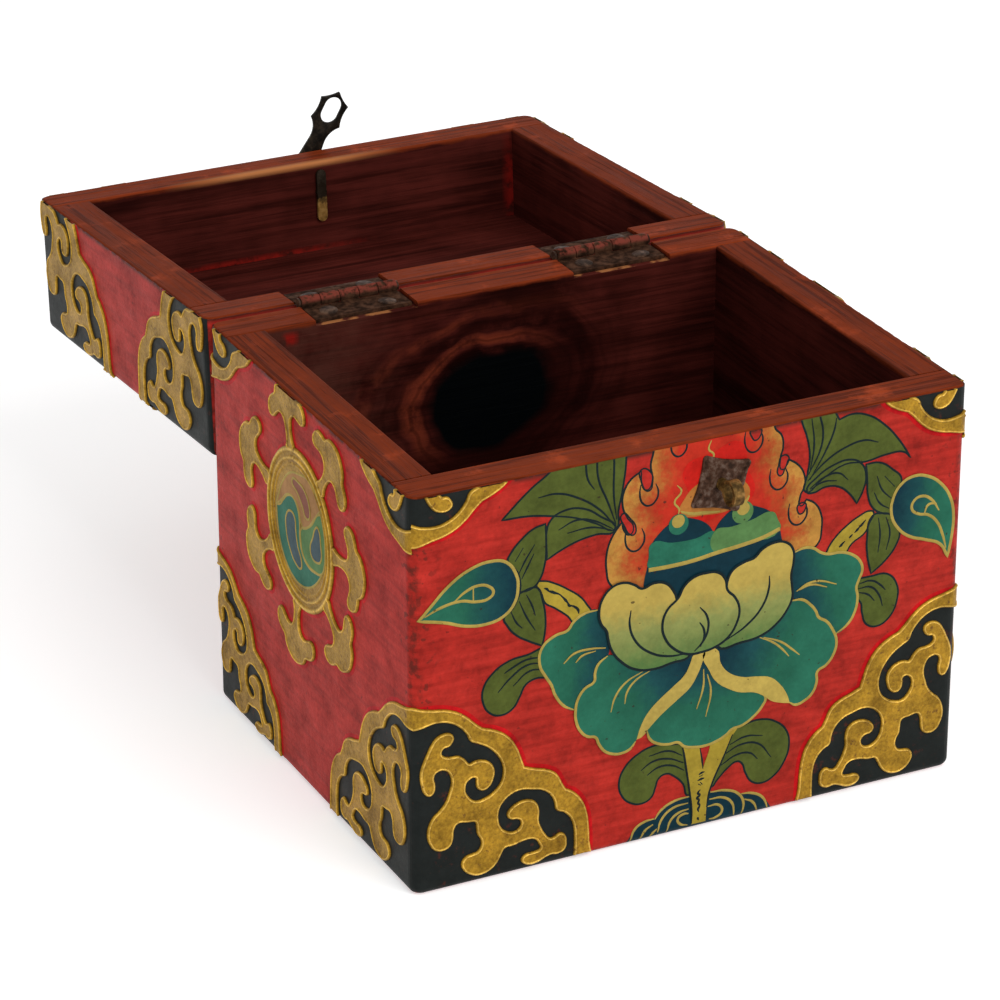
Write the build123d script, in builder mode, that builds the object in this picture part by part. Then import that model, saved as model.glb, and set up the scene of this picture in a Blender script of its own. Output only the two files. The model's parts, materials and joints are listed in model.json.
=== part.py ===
"""A hand-painted wooden box with a hinged lid, shown open: boards, nails, butt hinges, hasp and staple.

The frame has +Z up and its origin on the floor under the middle of the box. The front looks along -Y.
The lid lies open behind the box, a little past a half turn, with its back edge against the box's back.
"""

import os
from math import asin, cos, degrees, radians, sin

from build123d import *

# Driving dimensions, in millimetres and degrees

# Box and lid
box_width = 140.0
box_depth = 110.0
box_height = 98.0
lid_height = 35.0
wall = 10.0
base_thickness = 10.0
lid_top_thickness = 11.0
corner_round = 2.5
edge_round = 2.0
rim_round = 0.6
rim_gap = 0.4

# Wire nails that hold the boards together
nail_radius = 0.8
nail_length = 24.0
nail_head_radius = 1.6
nail_head_thickness = 0.8
nail_sink = 0.4
nail_fit = 0.02
nail_end_margin = 14.0
wall_nails_per_corner = 3
lid_nails_per_corner = 2
panel_nails_per_side = 3

# Butt hinges, let into the rims
hinge_spacing = 68.0
hinge_length = 25.0
hinge_barrel_radius = 1.6
hinge_pin_radius = 0.75
hinge_pin_fit = 0.05
hinge_pin_head = 0.5
hinge_pin_offset = 1.25
hinge_leaf_reach = 9.6
hinge_leaf_thickness = 0.9
hinge_knuckles = 5
hinge_knuckle_gap = 0.2
hinge_notch_side = 0.7
hinge_nail_spacing = 15.0
hinge_nail_from_axis = 6.0
hinge_nail_radius = 0.7
hinge_nail_length = 8.0
hinge_nail_head_radius = 2.3
hinge_nail_head_rise = 0.55
open_clearance = 0.3

# Clasp: hasp on the lid, staple on the box
staple_x = 6.0
eye_x = 4.0
eye_rise = 8.0
staple_drop = 11.5
plate_size = 13.0
plate_scallop = 0.7
plate_ear_round = 0.9
plate_thickness = 0.8
plate_turn = 15.0
strip_width = 2.6
strip_thickness = 0.8
ring_radius = 3.0
shank_radius = 1.4
shank_fit = 0.1
eye_stand = 0.3
staple_stand = 2.2
leg_up = 6.0
leg_down = 8.0
leg_gap = 0.15
hasp_thickness = 1.0
hasp_end_radius = 3.3
hasp_hole_radius = 1.9
hasp_hole_bar = 1.2
hasp_neck = 4.4
hasp_head = 9.0
hasp_crown = 8.4
hasp_slot_width = 4.9
hasp_slot_length = 7.2
hasp_tip_margin = 1.7
hasp_lean = 28.0
hasp_tilt = 5.0

# Sizes that follow from these

half_width = box_width / 2
half_depth = box_depth / 2
wall_height = box_height - base_thickness
lid_wall_height = lid_height - lid_top_thickness
side_length = box_depth - 2 * wall
hinge_y = half_depth + hinge_pin_offset
hinge_z = box_height + rim_gap / 2
open_sag = degrees(asin((2 * hinge_pin_offset - open_clearance) / lid_height))
hinge_xs = (-hinge_spacing / 2, hinge_spacing / 2)
leaf_floor = -hinge_barrel_radius
notch_width = hinge_length + 2 * hinge_notch_side
knuckle_pitch = hinge_length / hinge_knuckles
knuckle_length = knuckle_pitch - hinge_knuckle_gap
staple_z = box_height - staple_drop
eye_to_slot = eye_rise + rim_gap + staple_drop
hasp_tip = eye_to_slot + hasp_slot_length / 2 + hasp_tip_margin

# Hinge frames: origin on the pin's axis, y into the board that carries the leaf, z out of its rim
sag = radians(open_sag)
lid_y = Vector(0, cos(sag), -sin(sag))
lid_z = Vector(0, sin(sag), cos(sag))
box_hinge_frame = Plane(origin=(0, hinge_y, hinge_z), x_dir=(-1, 0, 0), z_dir=(0, 0, 1))
lid_frame = Plane(origin=(0, hinge_y, hinge_z), x_dir=(1, 0, 0), z_dir=lid_z)
lid_rim = -rim_gap / 2
lid_under_top = lid_rim - lid_wall_height
lid_back_y = hinge_pin_offset
lid_front_y = hinge_pin_offset + box_depth
lid_middle_y = hinge_pin_offset + half_depth


def in_lid(x, y, z, out, right=Vector(1, 0, 0)):
    """A plane on the lid at a point of its frame, facing along the row direction out."""
    return Plane(origin=lid_frame.from_local_coords((x, y, z)), x_dir=right, z_dir=out)


def in_lid_y(plane):
    """How far from the hinge's axis a plane on the lid stands."""
    return lid_frame.to_local_coords(plane.origin).Y


def spread(first, last, count):
    """Evenly spaced values from first to last, both included."""
    return [first + (last - first) * i / (count - 1) for i in range(count)]


def save(builder, name):
    """Label a finished piece and write it as the node of that name."""
    builder.part.label = name
    export_step(builder.part, os.path.join("parts", name + ".step"))


os.makedirs("parts", exist_ok=True)

# Nail places: a plane at each nail's entry, facing out of the wood

corner_nail_x = half_width - wall / 2
wall_nail_zs = spread(base_thickness + nail_end_margin, box_height - nail_end_margin, wall_nails_per_corner)
lid_nail_margin = lid_wall_height / 4
lid_nail_zs = spread(lid_rim - lid_nail_margin, lid_under_top + lid_nail_margin, lid_nails_per_corner)
corner_xs = (-corner_nail_x, corner_nail_x)
corner_points = [(x, z) for x in corner_xs for z in wall_nail_zs]
front_nail_planes = [Plane((x, -half_depth, z), x_dir=(1, 0, 0), z_dir=(0, -1, 0)) for x, z in corner_points]
back_nail_planes = [Plane((x, half_depth, z), x_dir=(1, 0, 0), z_dir=(0, 1, 0)) for x, z in corner_points]
lid_front_nail_planes = [in_lid(x, lid_front_y, z, lid_y) for x in corner_xs for z in lid_nail_zs]
lid_back_nail_planes = [in_lid(x, lid_back_y, z, -lid_y) for x in corner_xs for z in lid_nail_zs]

panel_nail_y = half_depth - wall / 2
panel_nail_reach = half_width - 2 * nail_end_margin
side_nail_reach = half_depth - 2 * nail_end_margin
panel_nail_xs = spread(-panel_nail_reach, panel_nail_reach, panel_nails_per_side)
side_nail_ys = spread(-side_nail_reach, side_nail_reach, panel_nails_per_side)
panel_nail_points = [(x, y) for x in panel_nail_xs for y in (-panel_nail_y, panel_nail_y)]
panel_nail_points += [(x, y) for x in corner_xs for y in side_nail_ys]
base_nail_planes = [Plane(origin=(x, y, 0), x_dir=(1, 0, 0), z_dir=(0, 0, -1)) for x, y in panel_nail_points]
top_nail_planes = [
    in_lid(x, lid_middle_y + y, lid_rim - lid_height, -lid_z) for x, y in panel_nail_points
]


def nail_holes(planes):
    """Cut a clearance hole with a counterbore for the sunk head at each entry plane."""
    with Locations(*planes):
        CounterBoreHole(
            radius=nail_radius + nail_fit,
            counter_bore_radius=nail_head_radius + nail_fit,
            counter_bore_depth=nail_sink + nail_head_thickness + nail_fit,
        )


def nail_tip_holes(planes, cover):
    """Cut the blind hole that a nail's tip fills, in the board behind one of thickness cover."""
    with Locations(*[plane.offset(-cover) for plane in planes]):
        Hole(radius=nail_radius + nail_fit, depth=nail_length + nail_sink - cover + nail_fit)


def nails(planes):
    """Drive one wire nail at each entry plane, its head sunk below the surface."""
    with Locations(*[plane.offset(-nail_sink) for plane in planes]):
        Cylinder(nail_head_radius, nail_head_thickness, align=(Align.CENTER, Align.CENTER, Align.MAX))
        Cylinder(nail_radius, nail_length, align=(Align.CENTER, Align.CENTER, Align.MAX))


def hinge_notches(frame):
    """Let both hinges into a rim, through the board's whole thickness."""
    notch_origin = frame.from_local_coords((0, hinge_pin_offset, leaf_floor))
    notch_floor = Plane(notch_origin, x_dir=frame.x_dir, z_dir=frame.z_dir)
    with BuildSketch(notch_floor) as notches:
        with Locations(*[(x, wall / 2) for x in hinge_xs]):
            Rectangle(notch_width, wall + 2 * corner_round)
    extrude(notches.sketch, amount=hinge_barrel_radius, mode=Mode.SUBTRACT)


def hinge_nail_planes(frame):
    """Where the nails enter the leaves of both hinges, on the leaf's upper face."""
    leaf_face = leaf_floor + hinge_leaf_thickness
    nail_xs = [x + side * hinge_nail_spacing / 2 for x in hinge_xs for side in (-1, 1)]
    points = [frame.from_local_coords((x, hinge_nail_from_axis, leaf_face)) for x in nail_xs]
    return [Plane(point, x_dir=frame.x_dir, z_dir=frame.z_dir) for point in points]


def hinge_nail_holes(frame):
    """Cut the holes for the hinge nails in the wood under the leaves."""
    with Locations(*[plane.offset(-hinge_leaf_thickness) for plane in hinge_nail_planes(frame)]):
        Hole(radius=hinge_nail_radius + nail_fit, depth=hinge_nail_length + nail_fit)


# Box boards

with BuildPart() as front_board:
    with BuildSketch(Plane.XZ.offset(half_depth)):
        with Locations((0, base_thickness + wall_height / 2)):
            Rectangle(box_width, wall_height)
    extrude(amount=-wall)
    fillet(front_board.edges().filter_by(Axis.Z).group_by(Axis.Y)[0], corner_round)
    fillet(front_board.faces().sort_by(Axis.Z)[-1].edges().filter_by(Axis.X), rim_round)
    nail_holes(front_nail_planes)
    with Locations(Plane(origin=(staple_x, -half_depth, staple_z), x_dir=(1, 0, 0), z_dir=(0, -1, 0))):
        Hole(radius=shank_radius + nail_fit, depth=wall)
    nail_tip_holes([p for p in base_nail_planes if p.origin.Y < wall - half_depth], base_thickness)

with BuildPart() as back_board:
    with BuildSketch(Plane.XZ.offset(-half_depth)):
        with Locations((0, base_thickness + wall_height / 2)):
            Rectangle(box_width, wall_height)
    extrude(amount=wall)
    fillet(back_board.edges().filter_by(Axis.Z).group_by(Axis.Y)[-1], corner_round)
    fillet(back_board.faces().sort_by(Axis.Z)[-1].edges().filter_by(Axis.X), rim_round)
    nail_holes(back_nail_planes)
    hinge_notches(box_hinge_frame)
    hinge_nail_holes(box_hinge_frame)
    nail_tip_holes([p for p in base_nail_planes if p.origin.Y > half_depth - wall], base_thickness)


def side_board(side):
    """The board between front and back on one side. side is -1 on the left, 1 on the right."""
    with BuildPart() as board:
        with BuildSketch(Plane.XY.offset(base_thickness)):
            with Locations((side * (half_width - wall / 2), 0)):
                Rectangle(wall, side_length)
        extrude(amount=wall_height)
        fillet(board.faces().sort_by(Axis.Z)[-1].edges().filter_by(Axis.Y), rim_round)
        nail_tip_holes([p for p in front_nail_planes + back_nail_planes if p.origin.X * side > 0], wall)
        sides = [p for p in base_nail_planes if p.origin.X * side > half_width - wall]
        nail_tip_holes([p for p in sides if abs(p.origin.Y) < side_length / 2], base_thickness)
    return board


left_board = side_board(-1)
right_board = side_board(1)

with BuildPart() as base_board:
    with BuildSketch():
        RectangleRounded(box_width, box_depth, corner_round)
    extrude(amount=base_thickness)
    fillet(base_board.faces().sort_by(Axis.Z)[0].edges(), edge_round)
    nail_holes(base_nail_planes)

with BuildPart() as wall_nails:
    nails(front_nail_planes + back_nail_planes)

with BuildPart() as base_nails:
    nails(base_nail_planes)

# Lid boards, in the lid's own frame

lid_board_plane = in_lid(0, lid_middle_y, lid_under_top, lid_z)
lid_right = Axis((0, 0, 0), (1, 0, 0))
lid_up = Axis((0, 0, 0), tuple(lid_z))
lid_out = Axis((0, 0, 0), tuple(lid_y))


def lid_end_board(side):
    """The lid's front board, side 1, or its back board, side -1, without their fittings' cuts."""
    with BuildSketch(lid_board_plane) as board_end:
        with Locations((0, side * (half_depth - wall / 2))):
            Rectangle(box_width, wall)
    extrude(board_end.sketch, amount=lid_wall_height)


with BuildPart() as lid_front_board:
    lid_end_board(1)
    fillet(lid_front_board.edges().filter_by(lid_up).group_by(lid_out)[-1], corner_round)
    fillet(lid_front_board.faces().sort_by(lid_up)[-1].edges().filter_by(lid_right), rim_round)
    nail_holes(lid_front_nail_planes)
    with Locations(in_lid(eye_x, lid_front_y, lid_rim - eye_rise, lid_y)):
        Hole(radius=shank_radius + shank_fit, depth=wall)
    lid_front_inside = lid_front_y - wall
    lid_front_top_nails = [p for p in top_nail_planes if in_lid_y(p) > lid_front_inside]
    nail_tip_holes(lid_front_top_nails, lid_top_thickness)

with BuildPart() as lid_back_board:
    lid_end_board(-1)
    fillet(lid_back_board.edges().filter_by(lid_up).group_by(lid_out)[0], corner_round)
    fillet(lid_back_board.faces().sort_by(lid_up)[-1].edges().filter_by(lid_right), rim_round)
    nail_holes(lid_back_nail_planes)
    hinge_notches(lid_frame)
    hinge_nail_holes(lid_frame)
    lid_back_inside = lid_back_y + wall
    lid_back_top_nails = [p for p in top_nail_planes if in_lid_y(p) < lid_back_inside]
    nail_tip_holes(lid_back_top_nails, lid_top_thickness)


def lid_side_board(side):
    """The board that closes one side of the lid. side is -1 on the left, 1 on the right."""
    with BuildPart() as board:
        with BuildSketch(lid_board_plane):
            with Locations((side * (half_width - wall / 2), 0)):
                Rectangle(wall, side_length)
        extrude(amount=lid_wall_height)
        fillet(board.faces().sort_by(lid_up)[-1].edges().filter_by(lid_out), rim_round)
        corner_nails = lid_front_nail_planes + lid_back_nail_planes
        nail_tip_holes([p for p in corner_nails if p.origin.X * side > 0], wall)
        sides = [p for p in top_nail_planes if p.origin.X * side > half_width - wall]
        ends = lid_front_top_nails + lid_back_top_nails
        nail_tip_holes([p for p in sides if p not in ends], lid_top_thickness)
    return board


lid_left_board = lid_side_board(-1)
lid_right_board = lid_side_board(1)

with BuildPart() as lid_top_board:
    with BuildSketch(lid_board_plane):
        RectangleRounded(box_width, box_depth, corner_round)
    extrude(amount=-lid_top_thickness)
    fillet(lid_top_board.faces().sort_by(lid_up)[0].edges(), edge_round)
    nail_holes(top_nail_planes)

with BuildPart() as lid_wall_nails:
    nails(lid_front_nail_planes + lid_back_nail_planes)

with BuildPart() as lid_top_nails:
    nails(top_nail_planes)

# Hinges


def hinge_leaf(frame, x, first_knuckle):
    """One leaf with every second knuckle of its hinge, from first_knuckle on, in a hinge frame."""
    leaf_edge = hinge_barrel_radius + hinge_knuckle_gap
    hinge = Plane(frame.from_local_coords((x, 0, 0)), x_dir=frame.x_dir, z_dir=frame.z_dir)
    side_plane = Plane(hinge.origin, x_dir=hinge.y_dir, z_dir=hinge.x_dir)
    with BuildPart() as leaf:
        with BuildSketch(hinge.offset(leaf_floor)):
            with Locations((0, (leaf_edge + hinge_leaf_reach) / 2)):
                Rectangle(hinge_length, hinge_leaf_reach - leaf_edge)
        extrude(amount=hinge_leaf_thickness)
        for knuckle in range(first_knuckle, hinge_knuckles, 2):
            start = -hinge_length / 2 + knuckle * knuckle_pitch + hinge_knuckle_gap / 2
            with BuildSketch(side_plane.offset(start)):
                Circle(hinge_barrel_radius)
                with Locations((leaf_edge / 2, leaf_floor + hinge_leaf_thickness / 2)):
                    Rectangle(leaf_edge, hinge_leaf_thickness)
            extrude(amount=knuckle_length)
        with BuildSketch(side_plane.offset(-hinge_length)):
            Circle(hinge_pin_radius + hinge_pin_fit)
        extrude(amount=2 * hinge_length, mode=Mode.SUBTRACT)
        half_leaf = hinge_length / 2
        own_nails = [p for p in hinge_nail_planes(frame) if abs(p.origin.X - hinge.origin.X) < half_leaf]
        with Locations(*own_nails):
            Hole(radius=hinge_nail_radius + nail_fit, depth=hinge_leaf_thickness)
    return leaf


def hinge_pin(x):
    """The pin of one hinge, upset a little at both ends."""
    pin_plane = Plane(origin=(x - hinge_length / 2, hinge_y, hinge_z), x_dir=(0, 1, 0), z_dir=(1, 0, 0))
    with BuildPart() as pin:
        with BuildSketch(pin_plane):
            Circle(hinge_pin_radius)
        extrude(amount=hinge_length)
        for end in (pin_plane.offset(-hinge_pin_head), pin_plane.offset(hinge_length)):
            with BuildSketch(end):
                Circle((hinge_pin_radius + hinge_barrel_radius) / 2)
            extrude(amount=hinge_pin_head)
    return pin


def hinge_nail_set(frame):
    """The round-headed nails of both leaves on one frame."""
    with BuildPart() as set_of_nails:
        with Locations(*hinge_nail_planes(frame)):
            Cylinder(
                hinge_nail_radius,
                hinge_nail_length + hinge_leaf_thickness,
                align=(Align.CENTER, Align.CENTER, Align.MAX),
            )
            Cone(
                hinge_nail_head_radius,
                hinge_nail_head_radius / 2,
                hinge_nail_head_rise,
                align=(Align.CENTER, Align.CENTER, Align.MIN),
            )
    return set_of_nails


left_hinge_box_leaf = hinge_leaf(box_hinge_frame, hinge_spacing / 2, 0)
right_hinge_box_leaf = hinge_leaf(box_hinge_frame, -hinge_spacing / 2, 0)
left_hinge_lid_leaf = hinge_leaf(lid_frame, -hinge_spacing / 2, 1)
right_hinge_lid_leaf = hinge_leaf(lid_frame, hinge_spacing / 2, 1)
left_hinge_pin = hinge_pin(-hinge_spacing / 2)
right_hinge_pin = hinge_pin(hinge_spacing / 2)
box_hinge_nails = hinge_nail_set(box_hinge_frame)
lid_hinge_nails = hinge_nail_set(lid_frame)

# Clasp


def clasp_plate(plane, hole_radius):
    """A small square plate with hollowed sides and rounded ears, lying on the face that plane lies on."""
    half = plate_size / 2
    corners = [(-half, -half), (half, -half), (half, half), (-half, half)]
    with BuildPart() as plate:
        with BuildSketch(plane) as outline:
            with BuildLine():
                for (x0, y0), (x1, y1) in zip(corners, corners[1:] + corners[:1]):
                    hollow = 1 - plate_scallop / half
                    ThreePointArc((x0, y0), ((x0 + x1) / 2 * hollow, (y0 + y1) / 2 * hollow), (x1, y1))
            make_face()
            fillet(outline.vertices(), plate_ear_round)
            Circle(hole_radius, mode=Mode.SUBTRACT)
        extrude(amount=plate_thickness)
    return plate


def split_pin(plane, stand, ring_turn):
    """An eye of folded strip on plane, with its shank through the board and two legs bent over inside.

    plane lies on the board's outer face with its y along the legs, stand is the ring's distance from the
    plate, and ring_turn is how far the ring is twisted against the legs.
    """
    ring_centre = plate_thickness + stand + ring_radius
    inner_radius = ring_radius - strip_thickness
    leg_plane = plane.offset(-wall - leg_gap - strip_thickness)
    ring_plane = Plane(
        plane.from_local_coords((0, 0, ring_centre)),
        x_dir=plane.z_dir,
        z_dir=plane.x_dir.rotate(Axis((0, 0, 0), tuple(plane.z_dir)), -ring_turn),
    )
    with BuildPart() as pin:
        with BuildSketch(leg_plane):
            Circle(shank_radius)
        extrude(amount=wall + leg_gap + strip_thickness + ring_centre - inner_radius - strip_thickness / 2)
        with BuildSketch(leg_plane):
            with Locations((0, (leg_up - leg_down) / 2)):
                SlotOverall(leg_up + leg_down, strip_width, rotation=90)
        extrude(amount=strip_thickness)
        with BuildSketch(ring_plane.offset(-strip_width / 2)):
            Circle(ring_radius)
            Circle(inner_radius, mode=Mode.SUBTRACT)
        extrude(amount=strip_width)
    return pin


lock_turn = radians(plate_turn)
lock_plate_plane = Plane(
    origin=(staple_x, -half_depth, staple_z), x_dir=(cos(lock_turn), 0, -sin(lock_turn)), z_dir=(0, -1, 0)
)
staple_plane = Plane(origin=(staple_x, -half_depth, staple_z), x_dir=(1, 0, 0), z_dir=(0, -1, 0))
eye_plane = in_lid(eye_x, lid_front_y, lid_rim - eye_rise, lid_y, right=Vector(-1, 0, 0))

lock_plate = clasp_plate(lock_plate_plane, shank_radius + nail_fit)
lock_staple = split_pin(staple_plane, staple_stand, 0)
hasp_plate = clasp_plate(eye_plane, shank_radius + shank_fit)
hasp_eye = split_pin(eye_plane, eye_stand, -hasp_lean)

# The hasp hangs on the eye's ring, leaning sideways past the staple and tilted a little in over the rim.
# Its outline runs from the hole's end up to a pointed head with a slot.
eye_centre_y = lid_front_y + plate_thickness + eye_stand + ring_radius
eye_centre = Vector(*lid_frame.from_local_coords((eye_x, eye_centre_y, lid_rim - eye_rise)))
hasp_right = Vector(1, 0, 0).rotate(Axis((0, 0, 0), tuple(lid_y)), hasp_lean)
hasp_out = lid_y.rotate(Axis((0, 0, 0), tuple(hasp_right)), hasp_tilt)
hasp_plane = Plane(eye_centre, x_dir=-hasp_right, z_dir=hasp_out)
hasp_hole_y = hasp_hole_radius + hasp_hole_bar / 2
hasp_neck_y = (hasp_hole_y + eye_to_slot) / 2
hasp_ear_low = eye_to_slot - hasp_slot_length / 2
hasp_ear_high = eye_to_slot + hasp_slot_length / 3

with BuildPart() as hasp:
    with BuildSketch(hasp_plane.offset(-hasp_thickness / 2)) as hasp_outline:
        with BuildLine():
            tip = (0, hasp_tip)
            for side in (1, -1):
                crown_hollow = (side * hasp_crown / 4, (hasp_tip + hasp_ear_high - plate_scallop) / 2)
                ear_high = (side * hasp_crown / 2, hasp_ear_high)
                side_hollow = (side * (hasp_head / 2 - plate_scallop), (hasp_ear_high + hasp_ear_low) / 2)
                ear_low = (side * hasp_head / 2, hasp_ear_low)
                neck_hollow = (side * (hasp_neck + plate_scallop) / 2, (hasp_ear_low + hasp_neck_y) / 2)
                neck = (side * hasp_neck / 2, hasp_neck_y)
                shoulder = (side * hasp_end_radius, hasp_hole_y)
                ThreePointArc(tip, crown_hollow, ear_high)
                ThreePointArc(ear_high, side_hollow, ear_low)
                ThreePointArc(ear_low, neck_hollow, neck)
                Line(neck, shoulder)
            ThreePointArc(
                (hasp_end_radius, hasp_hole_y), (0, -hasp_hole_bar / 2), (-hasp_end_radius, hasp_hole_y)
            )
        make_face()
        with Locations((0, hasp_hole_y)):
            Circle(hasp_hole_radius, mode=Mode.SUBTRACT)
        with Locations((0, eye_to_slot)):
            SlotOverall(hasp_slot_length, hasp_slot_width, rotation=90, mode=Mode.SUBTRACT)
    extrude(amount=hasp_thickness)

# Write every piece as its own node

save(front_board, "front_board")
save(back_board, "back_board")
save(left_board, "left_board")
save(right_board, "right_board")
save(base_board, "base_board")
save(wall_nails, "wall_nails")
save(base_nails, "base_nails")
save(lid_front_board, "lid_front_board")
save(lid_back_board, "lid_back_board")
save(lid_left_board, "lid_left_board")
save(lid_right_board, "lid_right_board")
save(lid_top_board, "lid_top_board")
save(lid_wall_nails, "lid_wall_nails")
save(lid_top_nails, "lid_top_nails")
save(left_hinge_box_leaf, "left_hinge_box_leaf")
save(right_hinge_box_leaf, "right_hinge_box_leaf")
save(left_hinge_lid_leaf, "left_hinge_lid_leaf")
save(right_hinge_lid_leaf, "right_hinge_lid_leaf")
save(left_hinge_pin, "left_hinge_pin")
save(right_hinge_pin, "right_hinge_pin")
save(box_hinge_nails, "box_hinge_nails")
save(lid_hinge_nails, "lid_hinge_nails")
save(lock_plate, "lock_plate")
save(lock_staple, "lock_staple")
save(hasp_plate, "hasp_plate")
save(hasp_eye, "hasp_eye")
save(hasp, "hasp")

print("open angle", 180 + open_sag, "hinge axis", hinge_y, hinge_z)
print("eye centre", eye_centre, "lid y", lid_y, "hasp right", hasp_right)
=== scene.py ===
"""Dresses the painted box: red ground, raised gilding, lotus painting, stained wood, hinges and clasp."""

import json
import math

import bpy
import numpy as np
from mathutils import Matrix, Vector

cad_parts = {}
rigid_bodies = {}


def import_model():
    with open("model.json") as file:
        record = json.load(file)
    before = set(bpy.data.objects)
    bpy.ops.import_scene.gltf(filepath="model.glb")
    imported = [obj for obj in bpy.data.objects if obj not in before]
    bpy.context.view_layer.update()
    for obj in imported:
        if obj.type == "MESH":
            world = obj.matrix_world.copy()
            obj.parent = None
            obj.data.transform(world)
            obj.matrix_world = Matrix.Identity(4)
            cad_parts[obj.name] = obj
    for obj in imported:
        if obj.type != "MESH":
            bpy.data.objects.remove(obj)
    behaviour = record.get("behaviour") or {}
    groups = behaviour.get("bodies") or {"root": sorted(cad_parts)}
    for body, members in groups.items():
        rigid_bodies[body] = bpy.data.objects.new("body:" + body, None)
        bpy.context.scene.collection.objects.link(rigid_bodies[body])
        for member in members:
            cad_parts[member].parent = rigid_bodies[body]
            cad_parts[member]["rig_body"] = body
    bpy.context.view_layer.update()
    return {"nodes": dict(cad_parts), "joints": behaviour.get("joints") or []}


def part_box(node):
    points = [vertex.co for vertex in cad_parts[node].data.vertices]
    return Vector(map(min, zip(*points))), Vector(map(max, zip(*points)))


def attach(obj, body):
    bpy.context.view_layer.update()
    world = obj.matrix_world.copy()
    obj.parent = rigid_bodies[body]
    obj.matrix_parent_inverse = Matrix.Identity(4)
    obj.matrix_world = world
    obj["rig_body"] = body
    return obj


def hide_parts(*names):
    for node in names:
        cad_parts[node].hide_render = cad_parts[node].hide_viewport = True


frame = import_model()

bl_info = {
    "name": "Painted box",
    "version": (1, 0, 0),
    "blender": (4, 5, 0),
    "location": "View3D > Sidebar > Painted box",
    "description": "Paint, gilding, wood and metal for an open wooden box with a hinged lid",
    "category": "Object",
}

MM = 0.001
TINY = 1e-6

# Read from the frame: sizes in millimetres, and the lid's hinge in metres and radians
FRONT_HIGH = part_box("front_board")[1] / MM
BACK_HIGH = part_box("back_board")[1] / MM
HALF_W = FRONT_HIGH.x
HALF_D = BACK_HIGH.y
RIM = FRONT_HIGH.z
LID_JOINT = next(j for j in frame["joints"] if j["name"] == "lid_hinge")
HINGE_AXIS = Vector(LID_JOINT["pos_m"])
OPEN_TURN = math.radians(LID_JOINT["range_deg"][1])
LID_RIM = 2 * HINGE_AXIS.z / MM - RIM

# Sizes that the frame doesn't give by themselves, in millimetres
LID_HEIGHT = 35.0
TOP = LID_RIM + LID_HEIGHT
CORNER_ROUND = 2.5
EDGE_ROUND = 2.0

# Layers of paint, in millimetres: how far a film reaches into the coat, and how far drawings and coat stop
# short of a rim
FILM_FOOT = 0.04
RIM_GAP = 0.3
COAT_GAP = 0.32
# The share of a brush line's width that is left at its ends
LINE_END = 0.45
# Shares of an edge's radius at which a drawing is scored, so that it bends over the edge
EDGE_SCORES = (1.0, 0.75, 0.5, 0.28)
# Gilding: half the width of its rim in millimetres, its flat's height as a share of the rim's, and its tone
GILT_RIM = 0.42
GILT_FLAT = 0.72
# The tone places the flat on the gilding's ramp from painted shade to painted highlight
GILT_TONE = 0.42
# The red coat: its lower end, steps round its edges, cuts along its rim, depth of the chips there, and how
# far it reaches into the board
COAT_FOOT = 0.1
COAT_STEPS = 8
COAT_CUTS = 90
CHIP_DEPTH = 0.09
COAT_ROOT = 0.06

# From the closed lid, in which everything on it is drawn, to the open lid of the frame
OPEN_LID = (
    Matrix.Translation(HINGE_AXIS) @ Matrix.Rotation(-OPEN_TURN, 4, "X") @ Matrix.Translation(-HINGE_AXIS)
)


def axes(across, up, out, origin):
    """A face's drawing frame, from millimetres across, up and out to metres in the row frame."""
    turn = Matrix((across, up, out)).transposed().to_4x4()
    return Matrix.Translation(Vector(origin) * MM) @ turn @ Matrix.Scale(MM, 4)


# Each painted face: its drawing frame, half its width, and the heights of its lower and upper edges
FACES = {
    "front": (axes((1, 0, 0), (0, 0, 1), (0, -1, 0), (0, -HALF_D, 0)), HALF_W, 0.0, TOP),
    "left": (axes((0, -1, 0), (0, 0, 1), (-1, 0, 0), (-HALF_W, 0, 0)), HALF_D, 0.0, TOP),
    "right": (axes((0, 1, 0), (0, 0, 1), (1, 0, 0), (HALF_W, 0, 0)), HALF_D, 0.0, TOP),
    "top": (axes((1, 0, 0), (0, 1, 0), (0, 0, 1), (0, 0, TOP)), HALF_W, -HALF_D, HALF_D),
}


def colour(name, default, description):
    """A colour setting."""
    return bpy.props.FloatVectorProperty(
        name=name, description=description, default=default, size=4, min=0.0, max=1.0, subtype="COLOR"
    )


def length(name, default, description):
    """A length setting, in millimetres."""
    return bpy.props.FloatProperty(name=name, description=description, default=default, min=0.0, max=20.0)


class PaintedBoxPaint(bpy.types.PropertyGroup):
    """Colours of the paint and the depth of its layers."""

    red: colour("Red ground", (0.43, 0.024, 0.016, 1), "Ground of every outer face")
    gold: colour("Gold", (0.47, 0.268, 0.024, 1), "Raised gilding")
    # gold_highlight is a painted highlight on the crowns of the gilding's rims
    gold_highlight: colour("Gold edge", (0.86, 0.57, 0.12, 1), "Worn and lit edges of the gilding")
    dark: colour("Dark ground", (0.014, 0.017, 0.016, 1), "Ground inside the corner scrolls")
    teal: colour("Teal", (0.020, 0.132, 0.080, 1), "Outer petals, buds and jewels")
    navy: colour("Navy", (0.004, 0.030, 0.045, 1), "Shaded roots of the petals, jewels and rock")
    cream: colour("Cream", (0.51, 0.37, 0.082, 1), "Inner petals and folded edges")
    green: colour("Pale green", (0.092, 0.18, 0.05, 1), "Roots of the inner petals")
    olive: colour("Leaf green", (0.085, 0.108, 0.020, 1), "Leaves")
    yellow: colour("Stem yellow", (0.40, 0.29, 0.034, 1), "Stems")
    ink: colour("Ink", (0.008, 0.017, 0.019, 1), "Outlines and veins")
    flame: colour("Flame", (0.52, 0.25, 0.048, 1), "Outer flames")
    coat: length("Coat", 0.12, "Depth of gesso and paint over the boards, in millimetres")
    relief: length("Relief", 0.7, "Height of the gilded gesso, in millimetres")


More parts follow.
